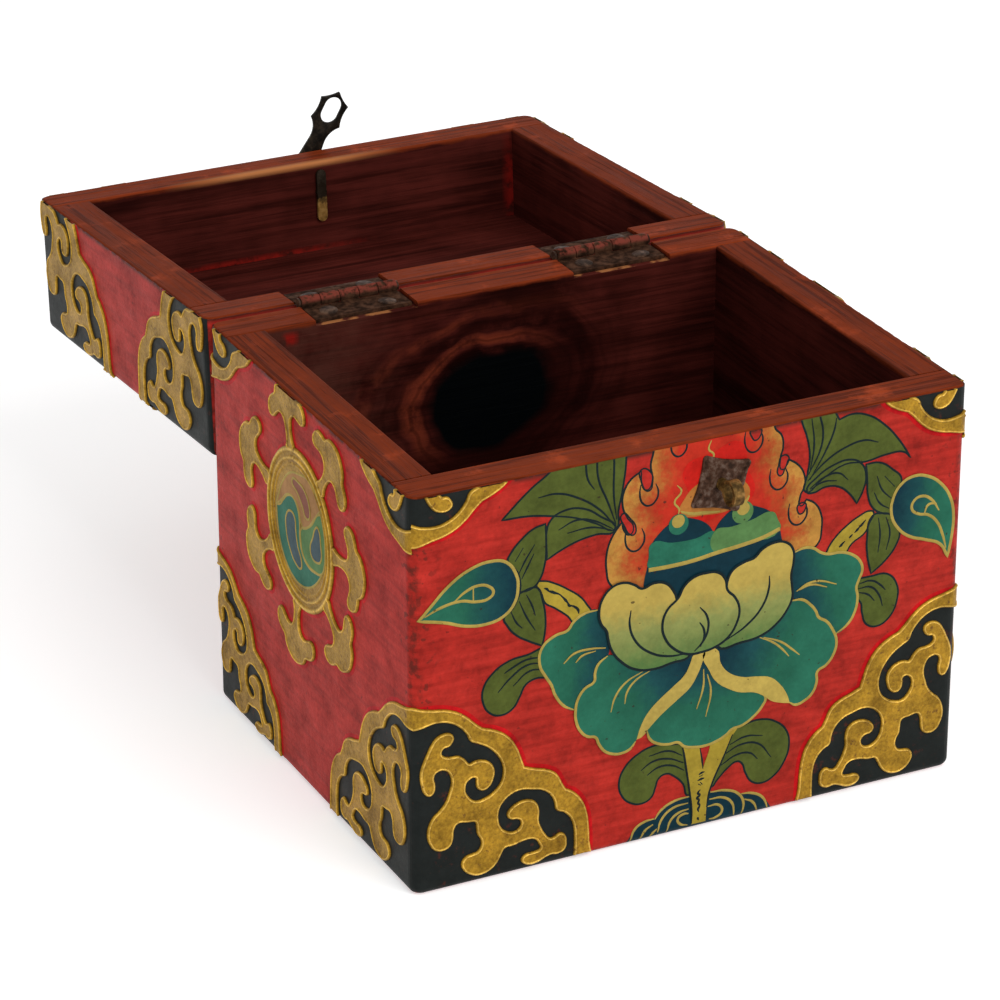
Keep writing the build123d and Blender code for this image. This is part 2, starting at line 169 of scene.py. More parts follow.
class PaintedBoxWood(bpy.types.PropertyGroup):
    """Colours of the bare wood and the metal."""

    inside: colour("Inside", (0.044, 0.0072, 0.0052, 1), "Stained wood inside the box")
    rim: colour("Rim", (0.232, 0.035, 0.0088, 1), "Worn stain on the rims")
    raw: colour("Raw wood", (0.34, 0.13, 0.045, 1), "Bare wood where the stain is rubbed off")
    iron: colour("Iron", (0.045, 0.020, 0.011, 1), "Hinges")
    rust: colour("Rust", (0.066, 0.030, 0.017, 1), "Plates of the clasp")
    brass: colour("Brass", (0.46, 0.25, 0.065, 1), "Eye and staple")


# Work with objects


def pick(*objs):
    """Leave only these objects selected, the first one active."""
    bpy.ops.object.select_all(action="DESELECT")
    for obj in objs:
        obj.select_set(True)
    bpy.context.view_layer.objects.active = objs[0]


def copied(obj):
    """A copy of an object, with a mesh of its own."""
    copy = obj.copy()
    copy.data = obj.data.copy()
    bpy.context.scene.collection.objects.link(copy)
    return copy


def join(name, objs):
    """Join objects into one of that name."""
    pick(*objs)
    if len(objs) > 1:
        bpy.ops.object.join()
    obj = bpy.context.view_layer.objects.active
    obj.name = name
    obj.data.name = name
    return obj


def edit_all(obj):
    """Open a mesh for editing, with all of it selected."""
    pick(obj)
    bpy.ops.object.mode_set(mode="EDIT")
    bpy.ops.mesh.select_all(action="SELECT")


def end_edit():
    """Go back to object mode."""
    bpy.ops.object.mode_set(mode="OBJECT")


def smooth(obj, degrees):
    """Shade a mesh smooth, except at edges sharper than an angle."""
    pick(obj)
    bpy.ops.object.shade_smooth_by_angle(angle=math.radians(degrees))


def set_finish(obj, finish):
    """Give an object one of the finishes that have been mixed."""
    obj.data.materials.clear()
    obj.data.materials.append(bpy.data.materials[finish])


def dress(obj, finish, body):
    """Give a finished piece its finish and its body."""
    set_finish(obj, finish)
    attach(obj, body)


def points_of(obj):
    """The mesh's points as an array."""
    co = np.empty(len(obj.data.vertices) * 3)
    obj.data.vertices.foreach_get("co", co)
    return co.reshape(-1, 3)


def set_points(obj, co):
    """Write the mesh's points from an array."""
    obj.data.vertices.foreach_set("co", np.asarray(co, dtype=float).ravel())
    obj.data.update()


def set_tone(obj, tone):
    """Store a value per point in the UV map that the paints read."""
    layer = obj.data.uv_layers.get("tone") or obj.data.uv_layers.new(name="tone")
    index = np.empty(len(obj.data.loops), dtype=np.int64)
    obj.data.loops.foreach_get("vertex_index", index)
    layer.data.foreach_set("uv", np.stack([tone[index], np.zeros(len(index))], axis=1).ravel())


def even_tone(obj, tone):
    """Store one value for a whole shape."""
    set_tone(obj, np.full(len(obj.data.vertices), tone))


# Drawing on a face: closed films of paint and tapered strokes, first flat in the face's millimetres


def new_curve(name, flat):
    """An empty curve object to draw with."""
    bpy.ops.object.select_all(action="DESELECT")
    bpy.ops.curve.primitive_bezier_curve_add(location=(0, 0, 0))
    obj = bpy.context.view_layer.objects.active
    obj.name = name
    obj.data.splines.clear()
    obj.data.dimensions = "2D" if flat else "3D"
    return obj


def add_spline(curve, points, closed, halves=None):
    """Draw one line through points, with half widths where given. A third value of 0 marks a sharp corner."""
    spline = curve.splines.new("BEZIER")
    spline.bezier_points.add(len(points) - 1)
    for i, (knot, point) in enumerate(zip(spline.bezier_points, points)):
        knot.co = (point[0], point[1], 0)
        kind = "VECTOR" if point[2:] == (0,) else "AUTO"
        knot.handle_left_type = kind
        knot.handle_right_type = kind
        knot.radius = halves[i] if halves else 1.0
    spline.use_cyclic_u = closed


def made_mesh(obj):
    """Turn a drawn curve into a mesh."""
    pick(obj)
    bpy.ops.object.convert(target="MESH")
    return bpy.context.view_layer.objects.active


def film(outline, top, tone=None):
    """A closed shape of paint, its upper side at top. tone is the two points between which its shade runs."""
    obj = new_curve("film", True)
    obj.data.resolution_u = 5
    obj.data.fill_mode = "BOTH"
    obj.data.extrude = (top + FILM_FOOT) / 2
    add_spline(obj.data, outline, True)
    obj = made_mesh(obj)
    co = points_of(obj)
    co[:, 2] += (top - FILM_FOOT) / 2
    set_points(obj, co)
    if tone:
        start, end = np.array(tone[0]), np.array(tone[1])
        axis = (end - start) / np.dot(end - start, end - start)
        set_tone(obj, (co[:, :2] - start) @ axis)
    return obj


def ring_line(centre, radius, half, count=16, stretch=1.0):
    """A closed circle as a line with its half width, or an oval stretched across."""
    across, up = centre
    turns = [2 * math.pi * i / count for i in range(count)]
    return [(across + stretch * radius * math.cos(t), up + radius * math.sin(t), half) for t in turns]


def round_outline(centre, radius, count=10, stretch=1.0):
    """The outline of a circle, or of an oval stretched across."""
    return [point[:2] for point in ring_line(centre, radius, 1, count, stretch)]


def inset(outline, distance):
    """A closed outline drawn in by a distance."""
    turn = sum(a[0] * b[1] - b[0] * a[1] for a, b in zip(outline, outline[1:] + outline[:1]))
    side = math.copysign(distance, turn)
    drawn = []
    for before, point, after in zip(outline[-1:] + outline[:-1], outline, outline[1:] + outline[:1]):
        along = Vector((after[0] - before[0], after[1] - before[1])).normalized()
        drawn.append((point[0] - along.y * side, point[1] + along.x * side) + point[2:])
    return drawn


def gilded(outline, top):
    """A shape of gilded gesso: a flat inside a rounded rim that stands a little higher."""
    flat = film(inset(outline, GILT_RIM / 2), top * GILT_FLAT)
    even_tone(flat, GILT_TONE)
    edge = strokes([inset(outline, GILT_RIM)], 2 * GILT_RIM, 0.0, top, closed=True, resolution=4)
    return [flat, edge]


def strokes(lines, width, base, rise, closed=False, taper=True, resolution=5):
    """Brush lines of that width whose crowns stand rise above base. Points may carry their own half width."""
    obj = new_curve("strokes", False)
    obj.data.bevel_depth = 1.0
    obj.data.bevel_resolution = 2
    obj.data.resolution_u = resolution
    obj.data.use_fill_caps = True
    for line in lines:
        halves = [p[2] if len(p) > 2 and p[2] > 0 else width / 2 for p in line]
        if taper and not closed:
            halves[0] *= LINE_END
            halves[-1] *= LINE_END
        add_spline(obj.data, line, closed, halves)
    obj = made_mesh(obj)
    co = points_of(obj)
    co[:, 2] *= rise / max(np.max(co[:, 2]), TINY)
    # The height is kept as tone, which the gilding turns into painted shade at the foot and a painted
    # highlight at the crown
    set_tone(obj, np.clip(co[:, 2] / rise, 0, 1))
    co[:, 2] += base
    set_points(obj, co)
    smooth(obj, 50)
    return obj


def cut(obj, point, normal, away=True):
    """Cut away what lies beyond a plane and close the cut, or only score a line there."""
    past = (points_of(obj) - np.array(point)) @ np.array(normal)
    if len(past) == 0 or np.max(past) <= 0 or (not away and np.min(past) >= 0):
        return
    edit_all(obj)
    bpy.ops.mesh.bisect(plane_co=point, plane_no=normal, use_fill=away, clear_outer=away, threshold=1e-5)
    end_edit()


def rolled(along, out, low, high, radius_low, radius_high):
    """Bend points over a face's rounded edges: positions along the face, and heights out of it."""
    new_along, new_out = along.copy(), out.copy()
    for edge, radius, way in ((low, radius_low, -1), (high, radius_high, 1)):
        past = way * (along - edge) + radius
        over = past > 0
        angle = np.minimum(past[over] / radius, math.pi / 2)
        new_along[over] = edge + way * ((radius + out[over]) * np.sin(angle) - radius)
        new_out[over] = (radius + out[over]) * np.cos(angle) - radius
    return new_along, new_out


def edge_rounds(face):
    """The coat's depth, and the radii of its side edges and its lower and upper edges on a face."""
    coat = bpy.context.scene.painted_box_paint.coat
    return coat, (EDGE_ROUND if face == "top" else CORNER_ROUND) + coat, EDGE_ROUND + coat


def lay(obj, face, on_lid):
    """Bend a flat drawing over the face's edges and set it in place on the box or the open lid."""
    matrix, half, low, high = FACES[face]
    coat, side_round, end_round = edge_rounds(face)
    edge = half + coat
    for part in EDGE_SCORES:
        for way in (-1, 1):
            cut(obj, (way * (edge - side_round * part), 0, 0), (way, 0, 0), False)
        cut(obj, (0, low - coat + end_round * part, 0), (0, -1, 0), False)
        cut(obj, (0, high + coat - end_round * part, 0), (0, 1, 0), False)
    co = points_of(obj)
    across, out = rolled(co[:, 0], co[:, 2], -edge, edge, side_round, side_round)
    up, out = rolled(co[:, 1], out, low - coat, high + coat, end_round, end_round)
    co = np.stack([across, up, out + coat, np.ones(len(co))], axis=1)
    place = OPEN_LID @ matrix if on_lid else matrix
    set_points(obj, (co @ np.array(place).T)[:, :3])


def apply_drawing(name, parts, finish, face, lid_too=True, foot=0.15):
    """Finish one paint on one face: joined, cut at the edges and the rim, and laid on the box and the lid."""
    obj = join(name, parts)
    _, half, low, high = FACES[face]
    coat, side_round, end_round = edge_rounds(face)
    to_middle = 1 - math.pi / 4
    reach = half + coat - side_round * to_middle
    end = high + coat - end_round * to_middle
    over_end = ((0, end, 0), (0, 1, 0))
    copies = []
    if face == "top":
        copies.append((obj, name, [((0, -end, 0), (0, -1, 0)), over_end], True))
    else:
        if lid_too:
            under_rim = ((0, LID_RIM + RIM_GAP, 0), (0, -1, 0))
            copies.append((copied(obj), "lid_" + name, [under_rim, over_end], True))
        over_rim = ((0, RIM - RIM_GAP, 0), (0, 1, 0))
        copies.append((obj, name, [over_rim, ((0, low + foot, 0), (0, -1, 0))], False))
    for part, part_name, cuts, on_lid in copies:
        part.name = part_name
        for point, normal in cuts + [((-reach, 0, 0), (-1, 0, 0)), ((reach, 0, 0), (1, 0, 0))]:
            cut(part, point, normal)
        if len(part.data.polygons) == 0:
            bpy.data.objects.remove(part)
            continue
        lay(part, face, on_lid)
        dress(part, finish, "lid" if on_lid else "box")


# Shaders


def node(tree, kind, place=(0, 0), **values):
    """Add a shader node with its settings."""
    made = tree.nodes.new(kind)
    made.location = place
    for key, value in values.items():
        setattr(made, key, value)
    return made


def link(tree, source, target):
    """Join two sockets."""
    tree.links.new(source, target)


def group(name, outputs):
    """A new node group that turns coordinates into values: its tree, its coordinates and its output node."""
    tree = bpy.data.node_groups.new(name, "ShaderNodeTree")
    tree.interface.new_socket(name="Vector", in_out="INPUT", socket_type="NodeSocketVector")
    for label in outputs:
        tree.interface.new_socket(name=label, in_out="OUTPUT", socket_type="NodeSocketFloat")
    given = node(tree, "NodeGroupInput", (-900, 0))
    return tree, given.outputs["Vector"], node(tree, "NodeGroupOutput", (600, 0))


def noise(tree, vector, scale, detail, rough=0.55, stretch=(1, 1, 1)):
    """A noise value in millimetres of object space, stretched where asked."""
    scaled = node(tree, "ShaderNodeVectorMath", operation="MULTIPLY")
    scaled.inputs[1].default_value = tuple(part / MM for part in stretch)
    link(tree, vector, scaled.inputs[0])
    texture = node(tree, "ShaderNodeTexNoise")
    texture.inputs["Scale"].default_value = scale
    texture.inputs["Detail"].default_value = detail
    texture.inputs["Roughness"].default_value = rough
    link(tree, scaled.outputs[0], texture.inputs["Vector"])
    return texture.outputs["Fac"]


def remap(tree, value, low, high, to_low=0.0, to_high=1.0):
    """Spread a value between two limits, clamped."""
    made = node(tree, "ShaderNodeMapRange")
    for i, v in enumerate((low, high, to_low, to_high)):
        made.inputs[i + 1].default_value = v
    link(tree, value, made.inputs[0])
    return made.outputs[0]


def math_node(tree, operation, a, b=0.0):
    """A math node on two sockets or numbers."""
    made = node(tree, "ShaderNodeMath", operation=operation)
    for i, value in enumerate((a, b)):
        if isinstance(value, (int, float)):
            made.inputs[i].default_value = value
        else:
            link(tree, value, made.inputs[i])
    return made.outputs[0]


def product(tree, *values):
    """Several masks multiplied."""
    made = values[0]
    for value in values[1:]:
        made = math_node(tree, "MULTIPLY", made, value)
    return made


def gap_to(tree, value, target):
    """How far a value is from a target."""
    return math_node(tree, "ABSOLUTE", math_node(tree, "SUBTRACT", value, target))


def parts_of(tree, vector):
    """A vector's X, Y and Z."""
    split = node(tree, "ShaderNodeSeparateXYZ", (-800, 300))
    link(tree, vector, split.inputs[0])
    return split.outputs


def blend_colour(tree, mask, a, b, mode="MIX"):
    """Mix two colours, sockets or values, by a mask."""
    made = node(tree, "ShaderNodeMix", data_type="RGBA", blend_type=mode)
    for socket, value in ((made.inputs["Factor"], mask), (made.inputs[6], a), (made.inputs[7], b)):
        if hasattr(value, "is_output"):
            link(tree, value, socket)
        else:
            socket.default_value = value
    return made.outputs[2]


def ramp(tree, value, stops):
    """Colours along a value."""
    made = node(tree, "ShaderNodeValToRGB")
    band = made.color_ramp
    while len(band.elements) < len(stops):
        band.elements.new(0.5)
    for element, (position, value_colour) in zip(band.elements, stops):
        element.position = position
        element.color = tuple(value_colour)[:3] + (1,)
    link(tree, value, made.inputs[0])
    return made.outputs[0]


def paint_age_group():
    """Mottling, dark specks and brush marks that old distemper paint shows."""
    tree, vector, out = group("paint_age", ("Mottle", "Speck", "Height"))
    cloud = noise(tree, vector, 0.16, 5.0)
    fine = noise(tree, vector, 0.9, 4.0)
    mixed = math_node(tree, "ADD", product(tree, cloud, 0.65), product(tree, fine, 0.35))
    link(tree, remap(tree, mixed, 0.34, 0.66), out.inputs["Mottle"])
    dots = noise(tree, vector, 0.75, 2.0, 0.4)
    link(tree, remap(tree, dots, 0.735, 0.775), out.inputs["Speck"])
    brush = noise(tree, vector, 2.4, 3.0, 0.6)
    link(tree, math_node(tree, "ADD", brush, product(tree, cloud, 1.5)), out.inputs["Height"])


def wood_grain_group():
    """Grain along X: growth lines, pores and a slow change of tone."""
    kinds = {
        "Grain": (0.8, 5.0, 0.6, (0.035, 0.9, 0.9), 0.33, 0.67),
        "Line": (0.7, 4.0, 0.7, (0.03, 1.0, 1.0), 0.52, 0.6),
        "Pore": (1.6, 2.0, 0.5, (0.05, 1.6, 1.6), 0.62, 0.72),
        "Tone": (0.06, 3.0, 0.55, (1, 1, 1), 0.35, 0.65),
    }
    tree, vector, out = group("wood_grain", kinds)
    for label, (scale, detail, rough, stretch, low, high) in kinds.items():
        value = noise(tree, vector, scale, detail, rough, stretch)
        link(tree, remap(tree, value, low, high), out.inputs[label])


def metal_age_group():
    """Tarnish in patches with a finer grain over it."""
    tree, vector, out = group("metal_age", ("Tarnish", "Pit"))
    link(tree, remap(tree, noise(tree, vector, 0.45, 5.0, 0.62), 0.38, 0.64), out.inputs["Tarnish"])
    link(tree, noise(tree, vector, 2.2, 4.0, 0.6), out.inputs["Pit"])


def shader(name, rough, metallic=0.0, specular=0.06):
    """A new material: its node tree, its Principled shader and its object coordinates."""
    material = bpy.data.materials.new(name)
    material.use_nodes = True
    tree = material.node_tree
    tree.nodes.clear()
    out = node(tree, "ShaderNodeOutputMaterial", (900, 0))
    surface = node(tree, "ShaderNodeBsdfPrincipled", (600, 0))
    surface.inputs["Roughness"].default_value = rough
    surface.inputs["Metallic"].default_value = metallic
    surface.inputs["Specular IOR Level"].default_value = specular
    link(tree, surface.outputs[0], out.inputs["Surface"])
    place = node(tree, "ShaderNodeTexCoord", (-1200, 0))
    return tree, surface, place.outputs["Object"]


def use_group(tree, name, vector):
    """Place a node group and feed it coordinates."""
    made = node(tree, "ShaderNodeGroup", (-600, 0))
    made.node_tree = bpy.data.node_groups[name]
    link(tree, vector, made.inputs["Vector"])
    return made.outputs


def bump(tree, surface, height, strength, distance):
    """Roughen a surface by a height."""
    made = node(tree, "ShaderNodeBump", (300, -300))
    made.inputs["Strength"].default_value = strength
    made.inputs["Distance"].default_value = distance
    link(tree, height, made.inputs["Height"])
    link(tree, made.outputs[0], surface.inputs["Normal"])


def tone_value(tree):
    """The value stored in the piece's own map."""
    stored = node(tree, "ShaderNodeUVMap", (-1200, -300), uv_map="tone")
    return parts_of(tree, stored.outputs[0])["X"]


def shade_of(value, factor):
    """A colour made darker or lighter."""
    return tuple(min(1.0, c * factor) for c in value[:3]) + (1,)


def layered(tree, under, tint, layers):
    """Lay shades of a tint over a colour: each layer has its mask, its strength and its shade."""
    for mask, strength, shade in layers:
        under = blend_colour(tree, product(tree, mask, strength), under, shade_of(tint, shade))
    return under


def wire_paint(tree, surface, age, made, polish, strength, depth):
    """Wire an aged colour to the shader, with its gloss and its brush marks."""
    link(tree, made, surface.inputs["Base Color"])
    link(tree, remap(tree, age["Mottle"], 0, 1, 0.5, polish), surface.inputs["Roughness"])
    bump(tree, surface, age["Height"], strength, depth)


def finish_paint(tree, surface, where, base, depth):
    """Age a paint's colour and wire it to the shader."""
    age = use_group(tree, "paint_age", where)
    mottle = ramp(tree, age["Mottle"], [(0, (1 - depth,) * 3), (1, (1 + depth * 0.4,) * 3)])
    dulled = blend_colour(tree, 1.0, base, mottle, "MULTIPLY")
    dulled = blend_colour(tree, product(tree, age["Speck"], 0.75), dulled, (0.03, 0.016, 0.012, 1))
    wire_paint(tree, surface, age, dulled, 0.36, 0.25, 0.00012)


def plain_paint(name, base, depth=0.3, under=None):
    """One colour of paint, rubbed through in spots to the colour under it."""
    tree, surface, where = shader(name, 0.42)
    made = tuple(base)
    if under:
        rubbed = remap(tree, noise(tree, where, 0.3, 6.0, 0.7), 0.6, 0.7, 0, 0.85)
        made = blend_colour(tree, rubbed, made, under)
    finish_paint(tree, surface, where, made, depth)


def shaded_paint(name, stops, depth=0.22, stipple=0.07):
    """Paint whose colour runs along the shape it fills."""
    tree, surface, where = shader(name, 0.42)
    wander = remap(tree, noise(tree, where, 0.5, 6.0, 0.7), 0.3, 0.7, -stipple, stipple)
    value = math_node(tree, "ADD", tone_value(tree), wander)
    finish_paint(tree, surface, where, ramp(tree, value, stops), depth)


def own_place(tree, where, on_lid):
    """Coordinates of the closed box, and their three parts."""
    turn = node(tree, "ShaderNodeMapping", (-1000, 300), vector_type="POINT")
    if on_lid:
        turn.inputs["Location"].default_value = OPEN_LID.inverted().to_translation()
        turn.inputs["Rotation"].default_value = OPEN_LID.inverted().to_euler()
    link(tree, where, turn.inputs["Vector"])
    return turn.outputs[0], parts_of(tree, turn.outputs[0])


def gap_to_rim(tree, place, on_lid):
    """How far a height is from the rim of the box or of the closed lid."""
    return gap_to(tree, place["Z"], (LID_RIM if on_lid else RIM) * MM)


def red_ground(name, on_lid):
    """Red distemper, dirty in patches, and dark where the edges and the rim are worn."""
    red = bpy.context.scene.painted_box_paint.red
    tree, surface, where = shader(name, 0.42)
    age = use_group(tree, "paint_age", where)
    stops = [(0, shade_of(red, 0.64)), (0.45, shade_of(red, 0.95)), (1, shade_of(red, 1.22))]
    base = ramp(tree, age["Mottle"], stops)
    closed, place = own_place(tree, where, on_lid)
    streaks = noise(tree, closed, 0.5, 4.0, 0.6, (0.1, 0.1, 1.3))
    streaks = ramp(tree, streaks, [(0.36, (0.8, 0.78, 0.78)), (0.5, (1, 1, 1)), (0.66, (1.12, 1.2, 1.25))])
    base = blend_colour(tree, 1.0, base, streaks, "MULTIPLY")
    grime = remap(tree, noise(tree, where, 0.07, 6.0, 0.72), 0.5, 0.7, 0, 0.3)
    base = blend_colour(tree, grime, base, shade_of(red, 0.42))
    corner = (HALF_W + HALF_D) * MM
    beside = math_node(tree, "ADD", *(math_node(tree, "ABSOLUTE", place[part]) for part in "XY"))
    near = remap(tree, beside, corner - 0.0026, corner - 0.0014)
    patch = noise(tree, where, 0.3, 5.0, 0.65)
    worn = product(tree, near, remap(tree, patch, 0.46, 0.6), 0.7)
    dots = remap(tree, noise(tree, where, 0.55, 2.0, 0.4), 0.63, 0.67)
    dots = product(tree, dots, remap(tree, beside, corner - 0.008, corner - 0.003), 0.55)
    worn = math_node(tree, "MAXIMUM", worn, dots)
    near_rim = remap(tree, gap_to_rim(tree, place, on_lid), 0.0016, 0.0004)
    back = math_node(tree, "GREATER_THAN", place["Y"], (HALF_D - 1) * MM)
    rim_worn = math_node(tree, "MAXIMUM", remap(tree, patch, 0.3, 0.5), back)
    worn = math_node(tree, "MAXIMUM", worn, product(tree, near_rim, rim_worn, 0.9))
    made = blend_colour(tree, worn, base, (0.045, 0.018, 0.012, 1))
    made = blend_colour(tree, product(tree, age["Speck"], 0.5), made, (0.035, 0.012, 0.01, 1))
    wire_paint(tree, surface, age, made, 0.36, 0.4, 0.00016)


def flame_paint():
    """Flames that run from red in the middle to gold at the tips, stippled."""
    tip = bpy.context.scene.painted_box_paint.flame
    stops = [(0.3, (0.54, 0.030, 0.014)), (0.56, (0.46, 0.070, 0.019)), (0.74, (0.45, 0.15, 0.032))]
    shaded_paint("flame_paint", stops + [(0.92, tip)], 0.3, 0.16)


def gilding():
    """Gold leaf on gesso: dull mottled flats, painted highlights on the rims, painted shade at the foot."""
    paint = bpy.context.scene.painted_box_paint
    tree, surface, where = shader("gilding", 0.4, 0.3, 0.1)
    age = use_group(tree, "paint_age", where)
    # Tone is height: painted shade at the foot of each shape, then the gold, then a painted highlight on the
    # rims' crowns
    stops = [
        (0.0, shade_of(paint.gold, 0.12)), (0.28, shade_of(paint.gold, 0.55)), (0.5, paint.gold),
        (0.75, paint.gold), (1.0, paint.gold_highlight),
    ]
    made = ramp(tree, tone_value(tree), stops)
    grit = noise(tree, where, 1.5, 3.0, 0.6)
    for value, tints in (
        (age["Mottle"], [(0, (0.5, 0.46, 0.38)), (0.5, (0.92, 0.9, 0.88)), (1, (1.25, 1.2, 1.1))]),
        (grit, [(0.36, (0.78, 0.74, 0.66)), (0.54, (1, 1, 1)), (0.7, (1.18, 1.15, 1.05))]),
    ):
        made = blend_colour(tree, 1.0, made, ramp(tree, value, tints), "MULTIPLY")
    rubbed = remap(tree, noise(tree, where, 0.6, 5.0, 0.72), 0.6, 0.68, 0, 0.8)
    made = blend_colour(tree, rubbed, made, (0.11, 0.045, 0.014, 1))
    wire_paint(tree, surface, age, made, 0.32, 0.45, 0.00025)


# The knot in the back board, in metres: its middle and half its size across and up, and its tilt
KNOT_X, KNOT_Z = -0.0015, 0.0688
KNOT_WIDE, KNOT_HIGH = 0.0165, 0.0118
KNOT_TILT = 0.2


def knot_marks(tree, place, where, inner):
    """The back board's black knot in bent grain with painted highlight and shade, and paler wood towards the
    left.
    """
    stain = bpy.context.scene.painted_box_wood.inside
    cloud = noise(tree, where, 0.12, 5.0, 0.7)
    pale = product(tree, remap(tree, place["X"], -0.022, -0.05), remap(tree, cloud, 0.3, 0.65), 0.75)
    inner = blend_colour(tree, pale, inner, (0.098, 0.034, 0.023, 1))
    across = product(tree, math_node(tree, "SUBTRACT", place["X"], KNOT_X), 1 / KNOT_WIDE)
    up = product(tree, math_node(tree, "SUBTRACT", place["Z"], KNOT_Z), 1 / KNOT_HIGH)
    up = math_node(tree, "SUBTRACT", up, product(tree, across, KNOT_TILT))
    off = node(tree, "ShaderNodeCombineXYZ", (-700, 400))
    link(tree, across, off.inputs[0])
    link(tree, up, off.inputs[2])
    far = node(tree, "ShaderNodeVectorMath", (-500, 400), operation="LENGTH")
    link(tree, off.outputs[0], far.inputs[0])
    far = far.outputs["Value"]
    ragged = remap(tree, noise(tree, where, 0.06, 2.5, 0.5), 0.3, 0.7, -0.13, 0.13)
    spread = math_node(tree, "ADD", far, ragged)
    # lit_side rises towards the upper left of the knot and dark_side towards the upper right; they place its
    # painted highlight and shade
    lit_side = math_node(tree, "DIVIDE", math_node(tree, "SUBTRACT", up, across), far)
    dark_side = math_node(tree, "DIVIDE", math_node(tree, "ADD", up, across), far)
    wander = remap(tree, noise(tree, where, 0.045, 3.0, 0.5), 0.3, 0.7, -1.6, 1.6)
    wave = math_node(tree, "SINE", math_node(tree, "ADD", product(tree, spread, 8.5), wander))
    rings = math_node(tree, "ADD", product(tree, spread, 30.0), product(tree, wander, 2.0))
    rings = remap(tree, math_node(tree, "SINE", rings), 0.2, 0.9)
    fade = remap(tree, spread, 2.8, 1.3)
    # Red rings on the upper left side: a painted highlight
    red = product(tree, remap(tree, wave, 0.1, -0.9), fade, remap(tree, lit_side, -0.3, 1.0))
    red = product(tree, red, remap(tree, cloud, 0.32, 0.54), 0.9)
    inner = blend_colour(tree, red, inner, (0.19, 0.032, 0.014, 1))
    # Black rings: the knot's own dark grain, kept off its lower left, and partly painted shade
    black = product(tree, remap(tree, wave, -0.3, 0.7), fade, remap(tree, dark_side, -1.3, 0.3))
    black = product(tree, black, remap(tree, cloud, 0.72, 0.45))
    # Painted shade over the lower right side of the knot
    shaded = product(tree, remap(tree, spread, 2.6, 1.2), remap(tree, lit_side, 0.5, -0.7))
    rings = product(tree, rings, fade)
    smear = remap(tree, gap_to(tree, place["X"], 0.009), 0.018, 0.006)
    smear = product(tree, smear, remap(tree, cloud, 0.34, 0.5), remap(tree, place["Z"], 0.086, 0.093))
    layers = [(black, 0.92, 0.14), (shaded, 0.8, 0.22), (rings, 0.4, 0.3), (smear, 0.75, 0.18)]
    inner = layered(tree, inner, stain, layers)
    return blend_colour(tree, remap(tree, spread, 1.1, 0.9), inner, (0.0010, 0.0016, 0.0019, 1))


def spilt_paint(tree, place, where, inner, spots):
    """Red paint that ran inside. Each spot: its middle, its reach per axis, 0 for any, and its strength."""
    splash = remap(tree, noise(tree, where, 0.25, 4.0, 0.6), 0.38, 0.56)
    for middle, reach, strength in spots:
        mask = splash
        for part, target, limit in zip("XYZ", middle, reach):
            if limit:
                gap = gap_to(tree, place[part], target * MM)
                mask = product(tree, mask, remap(tree, gap, limit * MM, limit * MM * 0.3))
        inner = blend_colour(tree, product(tree, mask, strength), inner, (0.26, 0.012, 0.008, 1))
    return inner


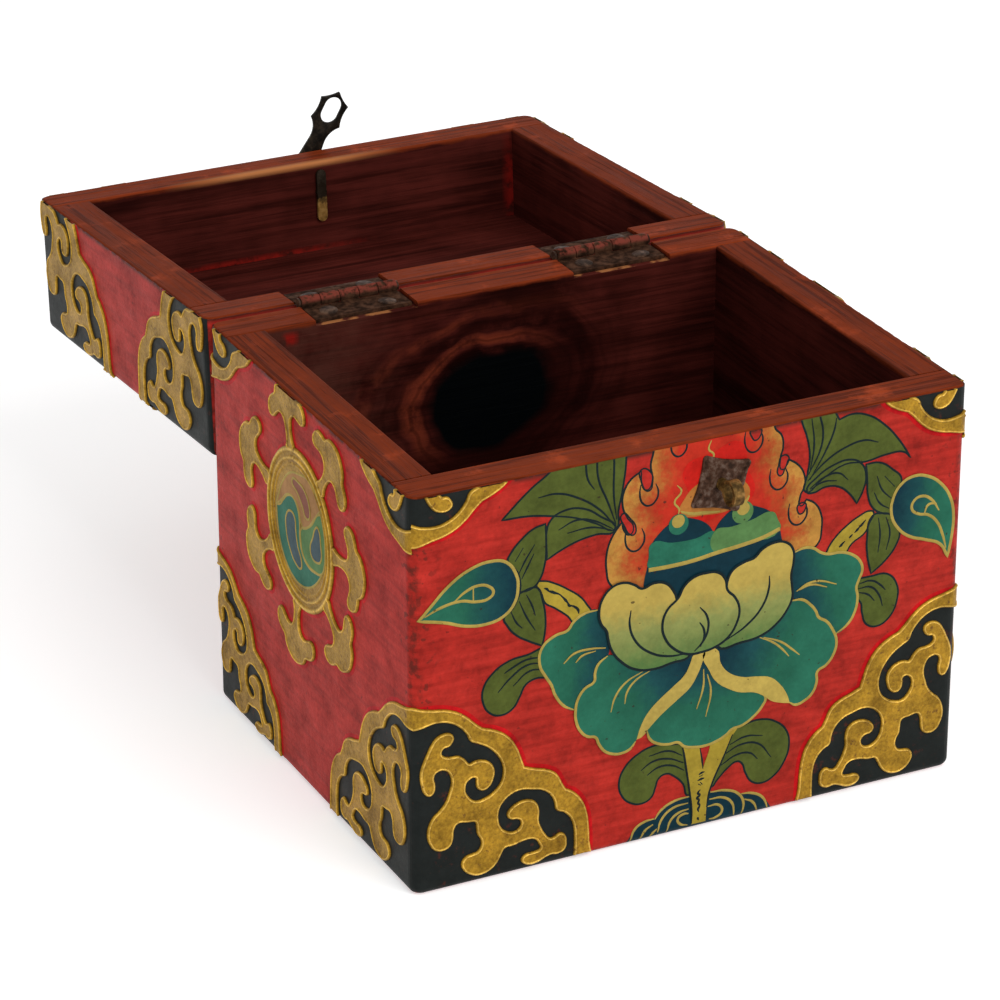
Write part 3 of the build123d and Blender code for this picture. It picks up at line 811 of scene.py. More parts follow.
def stained_wood(name, along, on_lid, marks=None):
    """Stained board, dark inside with painted shade deep in the box and on its sides, rubbed lighter on its
    rim. along is the axis its grain follows.
    """
    wood = bpy.context.scene.painted_box_wood
    tree, surface, where = shader(name, 0.55, specular=0.02)
    closed, place = own_place(tree, where, on_lid)
    grain_way = node(tree, "ShaderNodeMapping", (-900, 0), vector_type="POINT")
    if along == "Y":
        grain_way.inputs["Rotation"].default_value = (0, 0, math.pi / 2)
    link(tree, closed, grain_way.inputs["Vector"])
    grain = use_group(tree, "wood_grain", grain_way.outputs[0])
    streak = noise(tree, grain_way.outputs[0], 0.22, 4.0, 0.6, (0.05, 1, 1))
    rim_gap = gap_to_rim(tree, place, on_lid)
    blotch = noise(tree, where, 0.09, 5.0, 0.65)
    ragged_gap = math_node(tree, "ADD", rim_gap, remap(tree, blotch, 0.35, 0.65, -0.0004, 0.0004))

    # Painted shade: inside the box, the side boards, whose grain runs along Y, take a darker copy of the
    # stain
    stain = shade_of(wood.inside, 0.7 if along == "Y" and not on_lid else 1.0)
    inner = blend_colour(tree, grain["Tone"], shade_of(stain, 0.6), shade_of(stain, 1.7))
    layers = [
        (grain["Grain"], 0.55, 2.5), (remap(tree, streak, 0.5, 0.68), 0.8, 0.3), (grain["Line"], 0.4, 0.35),
    ]
    # Painted shade deeper down in the box, farther from the rim
    if not on_lid:
        layers.append((remap(tree, rim_gap, 0.02, 0.075), 0.5, 0.25))
    inner = layered(tree, inner, stain, layers)
    if marks == "knot":
        inner = knot_marks(tree, place, where, inner)
        inner = spilt_paint(tree, place, where, inner, [((-54, 45, 94.5), (2.6, 0, 2.2), 1.0)])
    if marks == "clasp":
        ceiling = TOP - 11
        runs = [((-14, -45, ceiling), (34, 2, 1.8), 0.8), ((60, -45, ceiling - 8), (3.4, 3, 16), 0.9)]
        inner = spilt_paint(tree, place, where, inner, runs)

    rubbed = shade_of(wood.rim, 0.84 if along == "Y" else 1.0)
    edge = blend_colour(tree, blotch, shade_of(rubbed, 0.45), shade_of(rubbed, 1.55))
    layers = [
        (grain["Grain"], 0.6, 0.5), (grain["Line"], 0.75, 0.28), (grain["Pore"], 0.6, 0.15),
        (remap(tree, blotch, 0.6, 0.7), 0.7, 1.9),
    ]
    edge = layered(tree, edge, rubbed, layers)
    made = blend_colour(tree, remap(tree, ragged_gap, 0.0012, 0.0003), inner, edge)
    if marks == "knot":
        in_notch = remap(tree, gap_to(tree, rim_gap, 0.0014), 0.00015, 0.0001)
        spots = remap(tree, noise(tree, where, 0.22, 3.0), 0.48, 0.58)
        behind = math_node(tree, "GREATER_THAN", place["Y"], 0.0451)
        made = blend_colour(tree, product(tree, in_notch, spots, behind), made, tuple(wood.raw))
    if marks == "clasp":
        bare = product(
            tree, remap(tree, rim_gap, 0.0016, 0.0006), remap(tree, place["Y"], -0.0478, -0.0458),
            remap(tree, gap_to(tree, place["X"], -0.006), 0.034, 0.012), remap(tree, streak, 0.34, 0.5),
        )
        made = layered(tree, made, wood.raw, [(bare, 0.85, 1.5)])
    link(tree, made, surface.inputs["Base Color"])
    link(tree, remap(tree, grain["Grain"], 0, 1, 0.62, 0.46), surface.inputs["Roughness"])
    bump(tree, surface, math_node(tree, "ADD", grain["Grain"], grain["Pore"]), 0.35, 0.00018)


def old_metal(name, base, worn, rough, metallic=0.85, specular=0.1, pitted=0.4):
    """Browned metal, brighter where handling has rubbed it. Gives back what further marks on it need."""
    tree, surface, where = shader(name, rough, metallic, specular)
    age = use_group(tree, "metal_age", where)
    made = ramp(tree, age["Tarnish"], [(0, shade_of(base, 0.4)), (0.5, base), (1, worn)])
    link(tree, made, surface.inputs["Base Color"])
    link(tree, remap(tree, age["Tarnish"], 0, 1, rough + 0.15, rough - 0.12), surface.inputs["Roughness"])
    bump(tree, surface, age["Pit"], pitted, 0.00025)
    return tree, surface, where, made


def hinge_iron():
    """Browned hinge iron with red paint left on the knuckles."""
    iron = bpy.context.scene.painted_box_wood.iron
    tree, surface, where, made = old_metal("browned_hinge", iron, (0.078, 0.034, 0.018), 0.7, 0.0, 0.03, 0.16)
    high = remap(tree, parts_of(tree, where)["Z"], HINGE_AXIS.z + 0.0001, HINGE_AXIS.z + 0.0009)
    left = product(tree, high, remap(tree, noise(tree, where, 0.5, 4.0, 0.6), 0.42, 0.56))
    link(tree, blend_colour(tree, left, made, (0.19, 0.040, 0.026, 1)), surface.inputs["Base Color"])


def eye_brass():
    """Brass of the eye, dark on the upper half of the leg that is bent down inside the lid."""
    brass = bpy.context.scene.painted_box_wood.brass
    tree, surface, where, made = old_metal("old_brass", brass, (0.66, 0.40, 0.12), 0.4, 0.6, 0.2)
    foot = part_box("hasp_eye")[0].z
    ragged = remap(tree, noise(tree, where, 0.7, 4.0, 0.6), 0.3, 0.7, -0.001, 0.001)
    height = math_node(tree, "ADD", parts_of(tree, where)["Z"], ragged)
    black = remap(tree, height, foot + 0.0048, foot + 0.0066)
    link(tree, blend_colour(tree, black, made, (0.022, 0.014, 0.008, 1)), surface.inputs["Base Color"])


# Pieces


def bevel_coat(obj, radius, chosen):
    """Round the chosen edges of a coat."""
    for item in list(obj.data.vertices) + list(obj.data.edges) + list(obj.data.polygons):
        item.select = False
    for edge in obj.data.edges:
        edge.select = chosen(*(obj.data.vertices[i].co for i in edge.vertices))
    bpy.ops.object.mode_set(mode="EDIT")
    bpy.ops.mesh.bevel(offset=radius * MM, segments=COAT_STEPS, affect="EDGES", clamp_overlap=False)
    end_edit()


def coat_shell(name, low, high, closed_above):
    """Gesso and paint over the outside of the boards, open at the rim and under the base."""
    coat = bpy.context.scene.painted_box_paint.coat
    bpy.ops.object.select_all(action="DESELECT")
    bpy.ops.mesh.primitive_cube_add(size=2, location=(0, 0, (low + high) / 2 * MM))
    obj = bpy.context.view_layer.objects.active
    obj.name = name
    obj.scale = ((HALF_W + coat) * MM, (HALF_D + coat) * MM, (high - low) / 2 * MM)
    bpy.ops.object.transform_apply(location=True, rotation=True, scale=True)
    end = (high if closed_above else low) * MM
    bpy.context.tool_settings.mesh_select_mode = (False, True, False)
    bevel_coat(obj, CORNER_ROUND + coat, lambda a, b: abs(a.z - b.z) > 0.01)
    bevel_coat(obj, EDGE_ROUND + coat, lambda a, b: max(abs(a.z - end), abs(b.z - end)) < TINY)

    rim = (LID_RIM + COAT_GAP if closed_above else RIM - COAT_GAP) * MM
    inwards = 1 if closed_above else -1
    edit_all(obj)
    bpy.ops.mesh.bisect(plane_co=(0, 0, rim), plane_no=(0, 0, -inwards), clear_outer=True)
    if not closed_above:
        bpy.ops.mesh.select_all(action="SELECT")
        bpy.ops.mesh.bisect(plane_co=(0, 0, COAT_FOOT * MM), plane_no=(0, 0, -1), clear_outer=True)
    bpy.ops.mesh.select_all(action="DESELECT")
    end_edit()
    for edge in obj.data.edges:
        a, b = (obj.data.vertices[i].co for i in edge.vertices)
        edge.select = max(abs(a.z - rim), abs(b.z - rim)) < TINY and (a - b).length > 0.02
    bpy.ops.object.mode_set(mode="EDIT")
    bpy.ops.mesh.subdivide(number_cuts=COAT_CUTS)
    end_edit()
    co = points_of(obj)
    at_rim = np.abs(co[:, 2] - rim) < TINY
    run = (co[:, 0] + co[:, 1] * 1.3) / MM
    waves = np.sin(run * 0.53) + np.sin(run * 1.37 + 1.1) + np.sin(run * 3.1 + 0.4)
    chips = np.clip(waves, 0, 3) * CHIP_DEPTH
    co[at_rim, 2] += inwards * chips[at_rim] * MM
    set_points(obj, co)
    pick(obj)
    wall = obj.modifiers.new("depth", "SOLIDIFY")
    wall.thickness = (coat + COAT_ROOT) * MM
    wall.offset = -1
    bpy.ops.object.modifier_apply(modifier=wall.name)
    smooth(obj, 35)
    return obj


def softened(node_name, width, finish):
    """A CAD piece with its edges eased, standing for that node."""
    source = frame["nodes"][node_name]
    obj = copied(source)
    obj.parent = None
    obj.matrix_world = Matrix.Identity(4)
    for key in list(obj.keys()):
        del obj[key]
    obj.name = "dressed_" + node_name
    edit_all(obj)
    bpy.ops.mesh.remove_doubles(threshold=TINY)
    bpy.ops.mesh.dissolve_limited(angle_limit=math.radians(2))
    end_edit()
    eased = obj.modifiers.new("eased", "BEVEL")
    eased.width = width * MM
    eased.segments = 2
    eased.limit_method = "ANGLE"
    eased.angle_limit = math.radians(35)
    bpy.ops.object.modifier_apply(modifier=eased.name)
    smooth(obj, 40)
    dress(obj, finish, source["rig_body"])
    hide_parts(node_name)
    return obj


def dented(plate):
    """Crumple a thin plate a little out of its plane."""
    pick(plate)
    finer = plate.modifiers.new("finer", "SUBSURF")
    finer.subdivision_type = "SIMPLE"
    finer.levels = finer.render_levels = 3
    cloud = bpy.data.textures.new("dents", "CLOUDS")
    cloud.noise_scale = 0.0035
    dents = plate.modifiers.new("dents", "DISPLACE")
    dents.texture = cloud
    dents.texture_coords = "LOCAL"
    dents.direction = "Y"
    dents.strength = 0.0011
    for modifier in (finer, dents):
        bpy.ops.object.modifier_apply(modifier=modifier.name)
    bpy.data.textures.remove(cloud)


# The four nails in a row of hinge leaves: their shift in millimetres, and their lean about X and Y in degrees
NAILS = [(0.4, 4, -4), (-0.4, -3, 4), (0.4, 3, 3), (-0.4, -4, -3)]
# In metres: the radius of a head, the distance of a hinge's two nails and what shows of the head's height
NAIL_RADIUS = 0.0023
NAIL_SPACING = 0.015
NAIL_HEIGHT = 0.00055


def nail_head():
    """The low dome of a nail's head, on a stub that reaches into the board."""
    bpy.ops.object.select_all(action="DESELECT")
    bpy.ops.mesh.primitive_uv_sphere_add(segments=20, ring_count=12, radius=NAIL_RADIUS, location=(0, 0, 0))
    head = bpy.context.view_layer.objects.active
    edit_all(head)
    bpy.ops.transform.resize(value=(1, 1, 0.24), center_override=(0, 0, 0))
    bpy.ops.mesh.bisect(plane_co=(0, 0, 0), plane_no=(0, 0, -1), clear_outer=True)
    bpy.ops.mesh.edge_face_add()
    bpy.ops.mesh.inset(thickness=NAIL_RADIUS * 0.62)
    bpy.ops.mesh.extrude_region_move(TRANSFORM_OT_translate={"value": (0, 0, -0.007)})
    end_edit()
    smooth(head, 40)
    return head


def seen_directly(tree):
    """1 for rays that show a thing, straight, in a gloss or through glass, and 0 for rays that only light."""
    rays = node(tree, "ShaderNodeLightPath", (-600, 0))
    seen = math_node(tree, "MAXIMUM", rays.outputs["Is Camera Ray"], rays.outputs["Is Glossy Ray"])
    return math_node(tree, "MAXIMUM", seen, rays.outputs["Is Transmission Ray"])


# The cloud scroll of a corner, in millimetres from that corner: its outer edge, then its inner outline
SCROLL_EDGE = [
    (-3, 46.6), (5, 46.4), (10, 45), (13, 43), (15.5, 40.5), (17, 39.2, 0), (20, 38), (23, 36),
    (25.5, 32.5), (26.8, 29), (27.4, 27, 0), (30, 26), (33, 25), (35.5, 23.3), (37, 20.5), (37.8, 19, 0),
    (40, 17.5), (42, 15), (43.2, 12), (43.8, 8), (44, 4), (44.1, -3),
]
SCROLL_INSIDE = [
    (39.8, -3), (39.8, 2), (39.8, 5), (39.6, 8.5), (38.7, 11), (37, 12.8), (35.2, 13.8), (34.8, 15.5),
    (34, 17.6), (32, 19.5), (29, 20.5), (26.2, 21), (24, 20.5), (22.2, 19.2), (21.1, 17.3), (21, 15),
    (21.6, 13), (23, 11.6), (25, 11.2), (26.1, 12), (26.2, 13.2), (25.2, 13.9), (23.7, 14.2), (22.8, 15.6),
    (23.7, 17.2), (26, 18.4), (28.5, 18.4), (30.4, 17.2), (31.2, 15), (31.1, 12.5), (31.7, 10.5),
    (32.7, 8.6), (34, 7.2), (35, 7.4), (36.2, 8), (37.7, 7.2), (38.2, 5.3), (37.8, 3.4), (36, 2.4),
    (34, 2.6), (32.5, 2.2), (30.7, 1.5), (28.5, 1.4), (26.8, 2.2), (26.4, 3.5), (27.7, 4.6), (29.5, 4.7),
    (31.2, 5.2), (30.8, 6.3), (29.7, 7.6), (27.5, 7.9), (24.5, 7.3), (22.4, 7.1), (21.7, 6), (20.7, 4.2),
    (19, 2.6), (16.2, 1.8), (14, 2.3), (12, 4), (11.4, 6), (12.5, 7.6), (14, 8), (15.5, 8.3), (16.3, 9.5),
    (16.2, 11), (15.4, 12.5), (15.2, 14), (14.9, 15.6), (13, 16), (10.6, 16.2), (9.9, 15), (9.7, 13),
    (9, 11.2), (7.2, 10.3), (5, 10.8), (3.7, 12.5), (3, 15), (3.4, 17.5), (4.5, 19.5), (6, 20.8),
    (7.5, 22.5), (8.5, 25), (9, 27), (8.7, 29), (7.7, 30.3), (5.7, 30.4), (5.1, 29.5), (5.4, 27.5),
    (5, 25.5), (3.7, 24.8), (2.4, 25.8), (1.7, 28), (1.5, 31), (2.1, 33.5), (3, 35.5), (4, 37.5),
    (5.5, 39.3), (7.5, 40), (9.2, 39.6), (10, 38.5), (9.7, 37.2), (8.7, 36.2), (7.5, 36), (7, 35.2),
    (7.5, 34.3), (9, 33.8), (11, 33.6), (12.5, 32.5), (13.8, 31), (15, 31.4), (17, 31.2), (19, 30),
    (20, 28), (19.8, 26), (18.8, 24), (17, 23.2), (15.5, 24), (15.1, 25.3), (15, 26.8), (13.5, 26.6),
    (12.8, 24.8), (13.5, 22.8), (15.2, 21.3), (17.5, 21.5), (19.5, 22.5), (21, 24), (21.8, 26.5),
    (21.5, 29), (20.2, 31.5), (18, 33.8), (15.5, 35.3), (13.8, 36.3), (13, 38), (11.5, 40), (9, 41.8),
    (6, 42.6), (3, 42.3), (0.5, 41.5), (-3, 40.5),
]
SCROLL_GROUND = [
    (-4, 44.2), (4, 44.6), (9, 43.4), (12.8, 40.8), (14.5, 38), (20.5, 34.5), (23.5, 30), (24.5, 25),
    (32, 22.5), (35.5, 18), (40.5, 12.5), (41.6, 6), (41.6, -4), (-4, -4),
]

# Where the corners stand on each face: across, up, the two directions and the scale
LEFT_CORNERS = [(55, 0, -1, 1, 1.0), (-55, 0, 1, 1, 0.85), (55, TOP, -1, -1, 1.03), (-55, TOP, 1, -1, 1.03)]
CORNERS = {
    "front": [(-70, 0, 1, 1, 1.0), (70, 0, -0.95, 1, 1.0), (-70, TOP, 1, -1, 1.0), (70, TOP, -0.95, -1, 1.0)],
    "left": LEFT_CORNERS,
    "right": [(-across, up, -way, way_up, scale) for across, up, way, way_up, scale in LEFT_CORNERS],
    "top": [(-70, -55, 1, 1, 0.92), (70, -55, -1, 1, 0.92), (-70, 55, 1, -1, 0.92), (70, 55, -1, -1, 0.92)],
}
# Where the wheels stand: across, up, the direction and the scale; then their shape and the commas' scale
MEDALLIONS = {"left": (-3.5, 66.1, -1, 1.0), "right": (3.5, 66.1, 1, 1.0), "top": (0, 0, 1, 0.92)}
WHEEL_STRETCH = 0.93
WHEEL_RADIUS = 19.8
COMMA_SCALE = 1.045
# The wheel's beads: how far inside its radius they run, and half their width
BEADS = [(0.7, 0.75), (2.7, 0.7), (4.2, 0.55)]
# The tone of the wheel's gilding between the beads, on the ramp from painted shade to painted highlight
DISC_TONE = 0.4


def moved(lines, across, up, way, way_up, scale):
    """Lines of a motif set at a place, mirrored and scaled."""
    return [
        [(across + way * p[0] * scale, up + way_up * p[1] * scale) + p[2:] for p in line]
        for line in lines
    ]


def tongue_at(turn, centre, way, scale):
    """One flame of a wheel, turned about its centre and starting under the wheel's outer bead."""
    cosine, sine = math.cos(math.radians(turn)), math.sin(math.radians(turn))
    start = (WHEEL_RADIUS - 0.6) / math.hypot(cosine / WHEEL_STRETCH, sine)
    outline = []
    for radius, side in TONGUE:
        radius = max(radius, start)
        across = radius * cosine - side * sine
        up = radius * sine + side * cosine
        outline.append((centre[0] + way * scale * across, centre[1] + scale * up))
    return outline


# One flame of a medallion as radius and distance sideways, and the three commas of its wheel with their cores
HALF_TONGUE = [
    (17.5, 1.9), (21, 1.6), (24.3, 1.5), (26.4, 2.4), (27, 4.4), (26.2, 6.3), (25.4, 8.1), (26, 9.8),
    (27.9, 10.3), (30, 9.4), (31.1, 7.6), (31.7, 6), (33.6, 4.9), (35.1, 2.6),
]
TONGUE = HALF_TONGUE + [(35.7, 0)] + [(radius, -side) for radius, side in reversed(HALF_TONGUE)]
COMMAS = [
    ("jewel_tan", 0.40, [(-11.5, 9), (-8.5, 12.5), (-4.5, 14), (-0.5, 13.5), (4.5, 12), (8.5, 8.5),
      (11.5, 3.5), (12.7, 1.2, 0), (10.5, 2), (8.5, 4), (6, 6), (2.5, 6.5), (0.5, 5), (-0.5, 2.5),
      (-2, 1.2, 0), (-4.5, 2.5), (-7.5, 5.5), (-9.5, 7.5)]),
    ("pale_green_paint", 0.42, [(-11.2, 9.2, 0), (-13, 5), (-13.5, 1), (-13, -3), (-11.5, -5.7),
      (-7.5, -6.7), (-4, -6.5), (-1.5, -5), (-0.5, -2), (-0.7, 0.5), (-3.5, 2), (-6.5, 4), (-9, 7)]),
    ("teal_paint", 0.42, [(-11.4, -6.2, 0), (-8.5, -6.8), (-4.5, -7), (-1.5, -5.5), (0, -2), (0, 2), (1, 5),
      (3, 6.5), (6.5, 6), (9.5, 3.5), (12.4, 1.3, 0), (12, -3), (10.5, -7.5), (7.5, -11), (3.5, -13),
      (-0.5, -13.2), (-4.5, -12), (-8, -9.7)]),
    ("mauve_paint", 0.47, [(3.5, 10.6), (0, 11.4), (-3.6, 10.4), (-5.6, 7.6), (-5.4, 5), (-3.4, 4.6),
      (-2, 6.4), (0.4, 8.6)]),
    ("slate_paint", 0.47, [(-10, 4.6), (-11.3, 1), (-11.3, -2.5), (-9, -4), (-6.3, -3.5), (-5.7, -1.5),
      (-7, 1), (-9, 4.4)]),
    ("slate_paint", 0.47, [(2, -1), (2.5, 2), (4.5, 2.8), (7, 1), (7.2, -3), (5.5, -6.5), (2.5, -9),
      (-0.5, -9), (-0.7, -7), (1, -4.5)]),
]
TONGUE_TURNS = [18.7, 77, 128, 176, 222, 277, 328.5]


# The lotus on the front, in millimetres across from the middle and up from the floor. Each outer petal has
# its outline, its height over the coat and the two points between which its shade runs
OUTER_PETALS = [
    ([(-22, 57), (-24.5, 61.8), (-28, 61.6), (-30.5, 60.2), (-32, 58.4), (-35, 57.8), (-38.3, 55.5),
      (-38.9, 51.5), (-37.3, 48), (-36, 45.8), (-35, 43), (-32.8, 39.8), (-30.3, 38.2), (-27, 42),
      (-22, 49)], 0.16, ((-21, 51), (-37, 52))),
    ([(25, 58), (25.5, 65.3), (28, 65.9), (30.5, 65.3), (32.5, 63.8), (34.5, 63), (37.5, 62.8),
      (40.8, 61.5), (43, 59.3), (43.6, 57), (42.8, 54.8), (42.2, 53), (42.6, 50.5), (42, 46.8), (40.2, 44),
      (37.2, 42.2), (32, 47), (26, 53)], 0.16, ((25, 53), (42, 57))),
    ([(-22, 49.9), (-24.3, 48.3), (-25.1, 46.3), (-25.3, 44.2), (-27.6, 43), (-29.2, 41), (-29.9, 38.3),
      (-29.7, 35), (-28.5, 32.3), (-26.8, 30.7), (-24.8, 30), (-24, 28.2), (-22.5, 26), (-20.5, 24.8),
      (-18.5, 24.4), (-16, 25), (-14.6, 26.6), (-10, 33), (-3, 40), (0, 45.5), (-12, 47), (-19, 49)], 0.30,
     ((-4, 45), (-24, 34))),
    ([(25.2, 53.3), (27.8, 53), (30, 51.3), (31.6, 49.2), (32.3, 47.6), (34.5, 46), (36.2, 43.5),
      (37.3, 40.5), (36.8, 37.5), (34.8, 34.8), (32.5, 33.6), (32.4, 31), (31.3, 28.3), (29.2, 26.8),
      (27, 26.3), (25.3, 27.3), (21, 33), (15, 35.5), (9, 38.5), (5, 45.5), (15, 48), (22, 50)], 0.30,
     ((8, 44), (31, 36))),
    ([(-11.7, 28.6), (-10.9, 26.3), (-8.8, 24.6), (-6, 23.8), (-3.6, 23.7), (-2, 22.3), (0.5, 21.5),
      (3.4, 21.2), (6.5, 21.7), (9, 22.8), (10.3, 23.8), (13, 24.2), (16, 25.8), (18.2, 28), (19, 30),
      (16, 33), (9, 36.5), (5, 42), (2.8, 46), (-1, 40), (-6, 34.5)], 0.23, ((3, 43), (3, 26))),
]
# The stretch of each outer petal's outline that has a pale line: its first point and the one after its last
PETAL_EDGES = [(1, 13), (1, 16), (0, 17), (0, 16), (0, 16)]
PETAL_VEINS = [
    [(-33, 50.4), (-30.5, 52.3), (-26.5, 52.6), (-22.5, 52)], [(-30, 50), (-28.5, 51.3), (-25, 51.8)],
    [(-21, 35.5), (-20, 39), (-17.5, 42), (-13, 44)], [(-17.5, 36.8), (-17, 39.5), (-15, 42), (-11, 43.8)],
    [(18, 45.6), (22.5, 43.5), (25.5, 41), (27.6, 39)],
    [(17, 45.8), (20.5, 43.8), (23, 41.5), (24.8, 39.3)],
    [(26.3, 55.4), (29, 56.7), (32, 56.8), (36.8, 55)], [(27, 55.6), (30, 56.3), (34.3, 54.8)],
    [(2.6, 41), (2.6, 36.5), (1, 31.2)], [(3.6, 39.5), (4.6, 35), (3.4, 28.7)],
]
FOLDS = [
    [(0.2, 45.5), (-1, 43), (-2.3, 40.6), (-5, 38.5), (-8.5, 36), (-11.3, 33.5), (-13.2, 30.5),
     (-14.4, 27, 0), (-13, 27.4), (-11.2, 29.2), (-8, 32), (-4, 34.8), (-0.8, 37.2), (1, 40), (2.2, 43),
     (2.7, 45.6)],
    [(2.7, 45.6), (4.2, 40), (6, 37), (9, 34.6), (12, 33), (16, 32), (18.5, 30.5), (20.5, 28.8),
     (23.5, 27.6), (25.4, 27.1, 0), (24.6, 29.5), (22.5, 32.8), (20, 35), (16.5, 36), (12.5, 36.8),
     (9, 38.8), (7, 41.5), (5.8, 45.4)],
]
INNER_PETALS = [
    ([(-24.3, 61), (-23.5, 64.3), (-21, 66.8), (-18, 67.2), (-15.3, 66), (-13.6, 64.8), (-10.5, 65.5),
      (-7.6, 64.8), (-5.5, 62.3), (-4.8, 60.3), (-5, 55), (-3, 48), (-1, 45.8), (-6, 44.5), (-10.5, 44),
      (-15, 45), (-18.5, 47.6), (-21, 51), (-22, 54.3), (-22.3, 56), (-23.8, 58.3)], 0.40),
    ([(8.2, 62), (9.5, 64.4), (12.5, 65.8), (15, 66.3), (17, 68), (20, 69), (23, 68.5), (25, 66.3),
      (25.2, 63), (24.7, 60), (25, 57), (25.2, 54.5), (24, 51.5), (21, 48.2), (17, 46.2), (12, 45.7),
      (6, 46), (7, 52), (8, 58)], 0.40),
    ([(-4.3, 60.6), (-3, 63), (-0.5, 64.8), (2.5, 65.2), (5.8, 64.6), (7.6, 62.5), (8.2, 59.8),
      (10.2, 57.5), (11.4, 54.3), (10.8, 51), (8.6, 47.8), (5, 46), (2, 45.6), (-1.5, 45.8), (-5, 47.8),
      (-7.5, 51), (-8.3, 54.5), (-7.2, 58)], 0.49),
]
# The two points between which the inner petals' shade runs
INNER_TONE = ((0, 45), (0, 66))
INNER_VEINS = [
    [(-16.3, 60), (-16.6, 56.5), (-15, 52), (-11.5, 48.5), (-7, 46.5), (-1, 46)],
    [(19, 61), (19, 58), (17.3, 53.5), (13.5, 49.8), (8, 47)],
    [(1.2, 57), (3, 54.5), (3.4, 51), (2, 48), (0, 46.2)], [(1.2, 53.2), (2.3, 51.3), (2.4, 49), (1.5, 47)],
]

# Flames and jewels above the lotus; they run on over the rim to the lid. The flames' height, the middle of
# their shading, its reach sideways, up and down, and the width of their pale edge
FLAME_TOP = 0.06
FLAME_MIDDLE = (4, 85)
FLAME_REACH = (27, 30, 45)
FLAME_EDGE = 9
FLAME = [
    (-14, 62), (-21.5, 67.5), (-22.4, 71), (-22.4, 75), (-21.3, 78.5), (-18.6, 82.2, 0), (-18.2, 80),
    (-16.6, 78.6), (-15.8, 80.3), (-17.5, 83), (-18.6, 86.3), (-18.2, 89.5), (-16.5, 92), (-14, 93.4, 0),
    (-13.8, 90.4), (-12.5, 88.6), (-11.3, 90.5), (-11.7, 94.5), (-11, 98), (-11.6, 102), (-9.4, 106.4, 0),
    (-8.2, 103.6), (-5.6, 103.4), (-3.6, 107.5), (0.4, 112), (3.2, 118, 0), (6.4, 112), (10.6, 107.6),
    (13.4, 103.2), (16, 103.6), (17.6, 106.6, 0), (20.6, 102.2), (19.5, 97.5), (21.4, 95), (21.8, 92),
    (21.2, 89.6), (21.8, 86.6), (23.2, 88.9, 0), (25.8, 87), (27.4, 84.5), (27.7, 81.5), (26.6, 79),
    (26.8, 76.6), (28.3, 77.9, 0), (30.5, 76.5), (32.2, 73.5), (32.5, 70), (31.5, 66), (20, 62),
]
FLAME_CURLS = [
    ((-15.4, 77), 2.3), ((-12, 87.3), 2.2), ((-4.7, 97.4), 1.9), ((26.1, 74.8), 2.3), ((20.9, 84.5), 2.2),
    ((14.2, 95), 2.2),
]
CURL = [(-0.95, 1.3), (-1.05, 0.2), (-0.7, -0.8), (0.05, -1.2), (0.8, -0.75), (1.05, 0.15), (0.75, 1.1)]
FLAME_GAPS = [
    [(-18.6, 84), (-17.9, 80.6), (-16.6, 78.6), (-15.6, 78.4), (-15.2, 80), (-16.6, 82.4)],
    [(-14, 93.8), (-13.9, 90.6), (-12.9, 88.6), (-11.8, 88.4), (-11.2, 90), (-11.6, 92.6)],
    [(13.4, 98), (13.8, 96), (14.6, 95.2), (15.8, 96), (15.9, 98)],
    [(23.3, 89.4), (22.4, 86.8), (21.4, 85.2), (20.6, 85.8), (20.8, 88), (21.6, 90)],
    [(26.2, 77), (26, 75.6), (26.8, 74.6), (28, 75.6), (28, 77)],
]
JEWELS = [
    ([(-11.8, 62), (-11.9, 71.5), (-11.2, 75), (-9.4, 77.2), (-7, 79), (-4.4, 80), (-1, 79.3), (2, 77.8),
      (4, 75.6), (5, 72), (5, 62)], 0.14),
    ([(4.6, 62), (4.6, 74.6), (7, 78), (10, 79.6), (12.5, 79.8), (16, 78.6), (19, 76.8), (21, 74),
      (21.7, 71.5), (21.4, 62)], 0.16),
]
JEWEL_BAND = [
    (-11.9, 69.4), (-4, 69.3), (4.8, 69.7), (4.9, 74.8), (0, 74.2), (-6, 74.4), (-11.2, 75.3), (-11.9, 72),
]
JEWEL_BAND_PALE = [
    (4.7, 69.9), (12, 70.5), (21.6, 72), (20.9, 74.6), (19.6, 76.7), (14, 75.8), (9, 75.2), (4.7, 75),
]
JEWEL_LINES = [[(-11.9, 68.9), (-6, 68.7), (0, 68.9), (5, 69.5), (12, 70.1), (17, 70.8), (21.5, 72.1)]]
THIRD_JEWEL = [(-4.2, 81.6), (-3, 84.6), (-0.6, 87), (6, 89), (11.5, 86.4), (13.4, 82), (9, 79.6), (3, 79.4)]
THIRD_JEWEL_LINES = [[(-4, 81.6), (-1.5, 80.6), (2, 80.1), (6, 79.6)], [(11, 80), (12.6, 80.8), (13.4, 82)]]
LIGHT_RAYS = [
    [(-5, 88.2), (-3.9, 86.6), (-5.6, 84.2), (-4.4, 82.2), (-4.6, 81)],
    [(3.4, 97.4), (2.8, 95.4), (4.1, 93.8), (3.1, 92)],
]

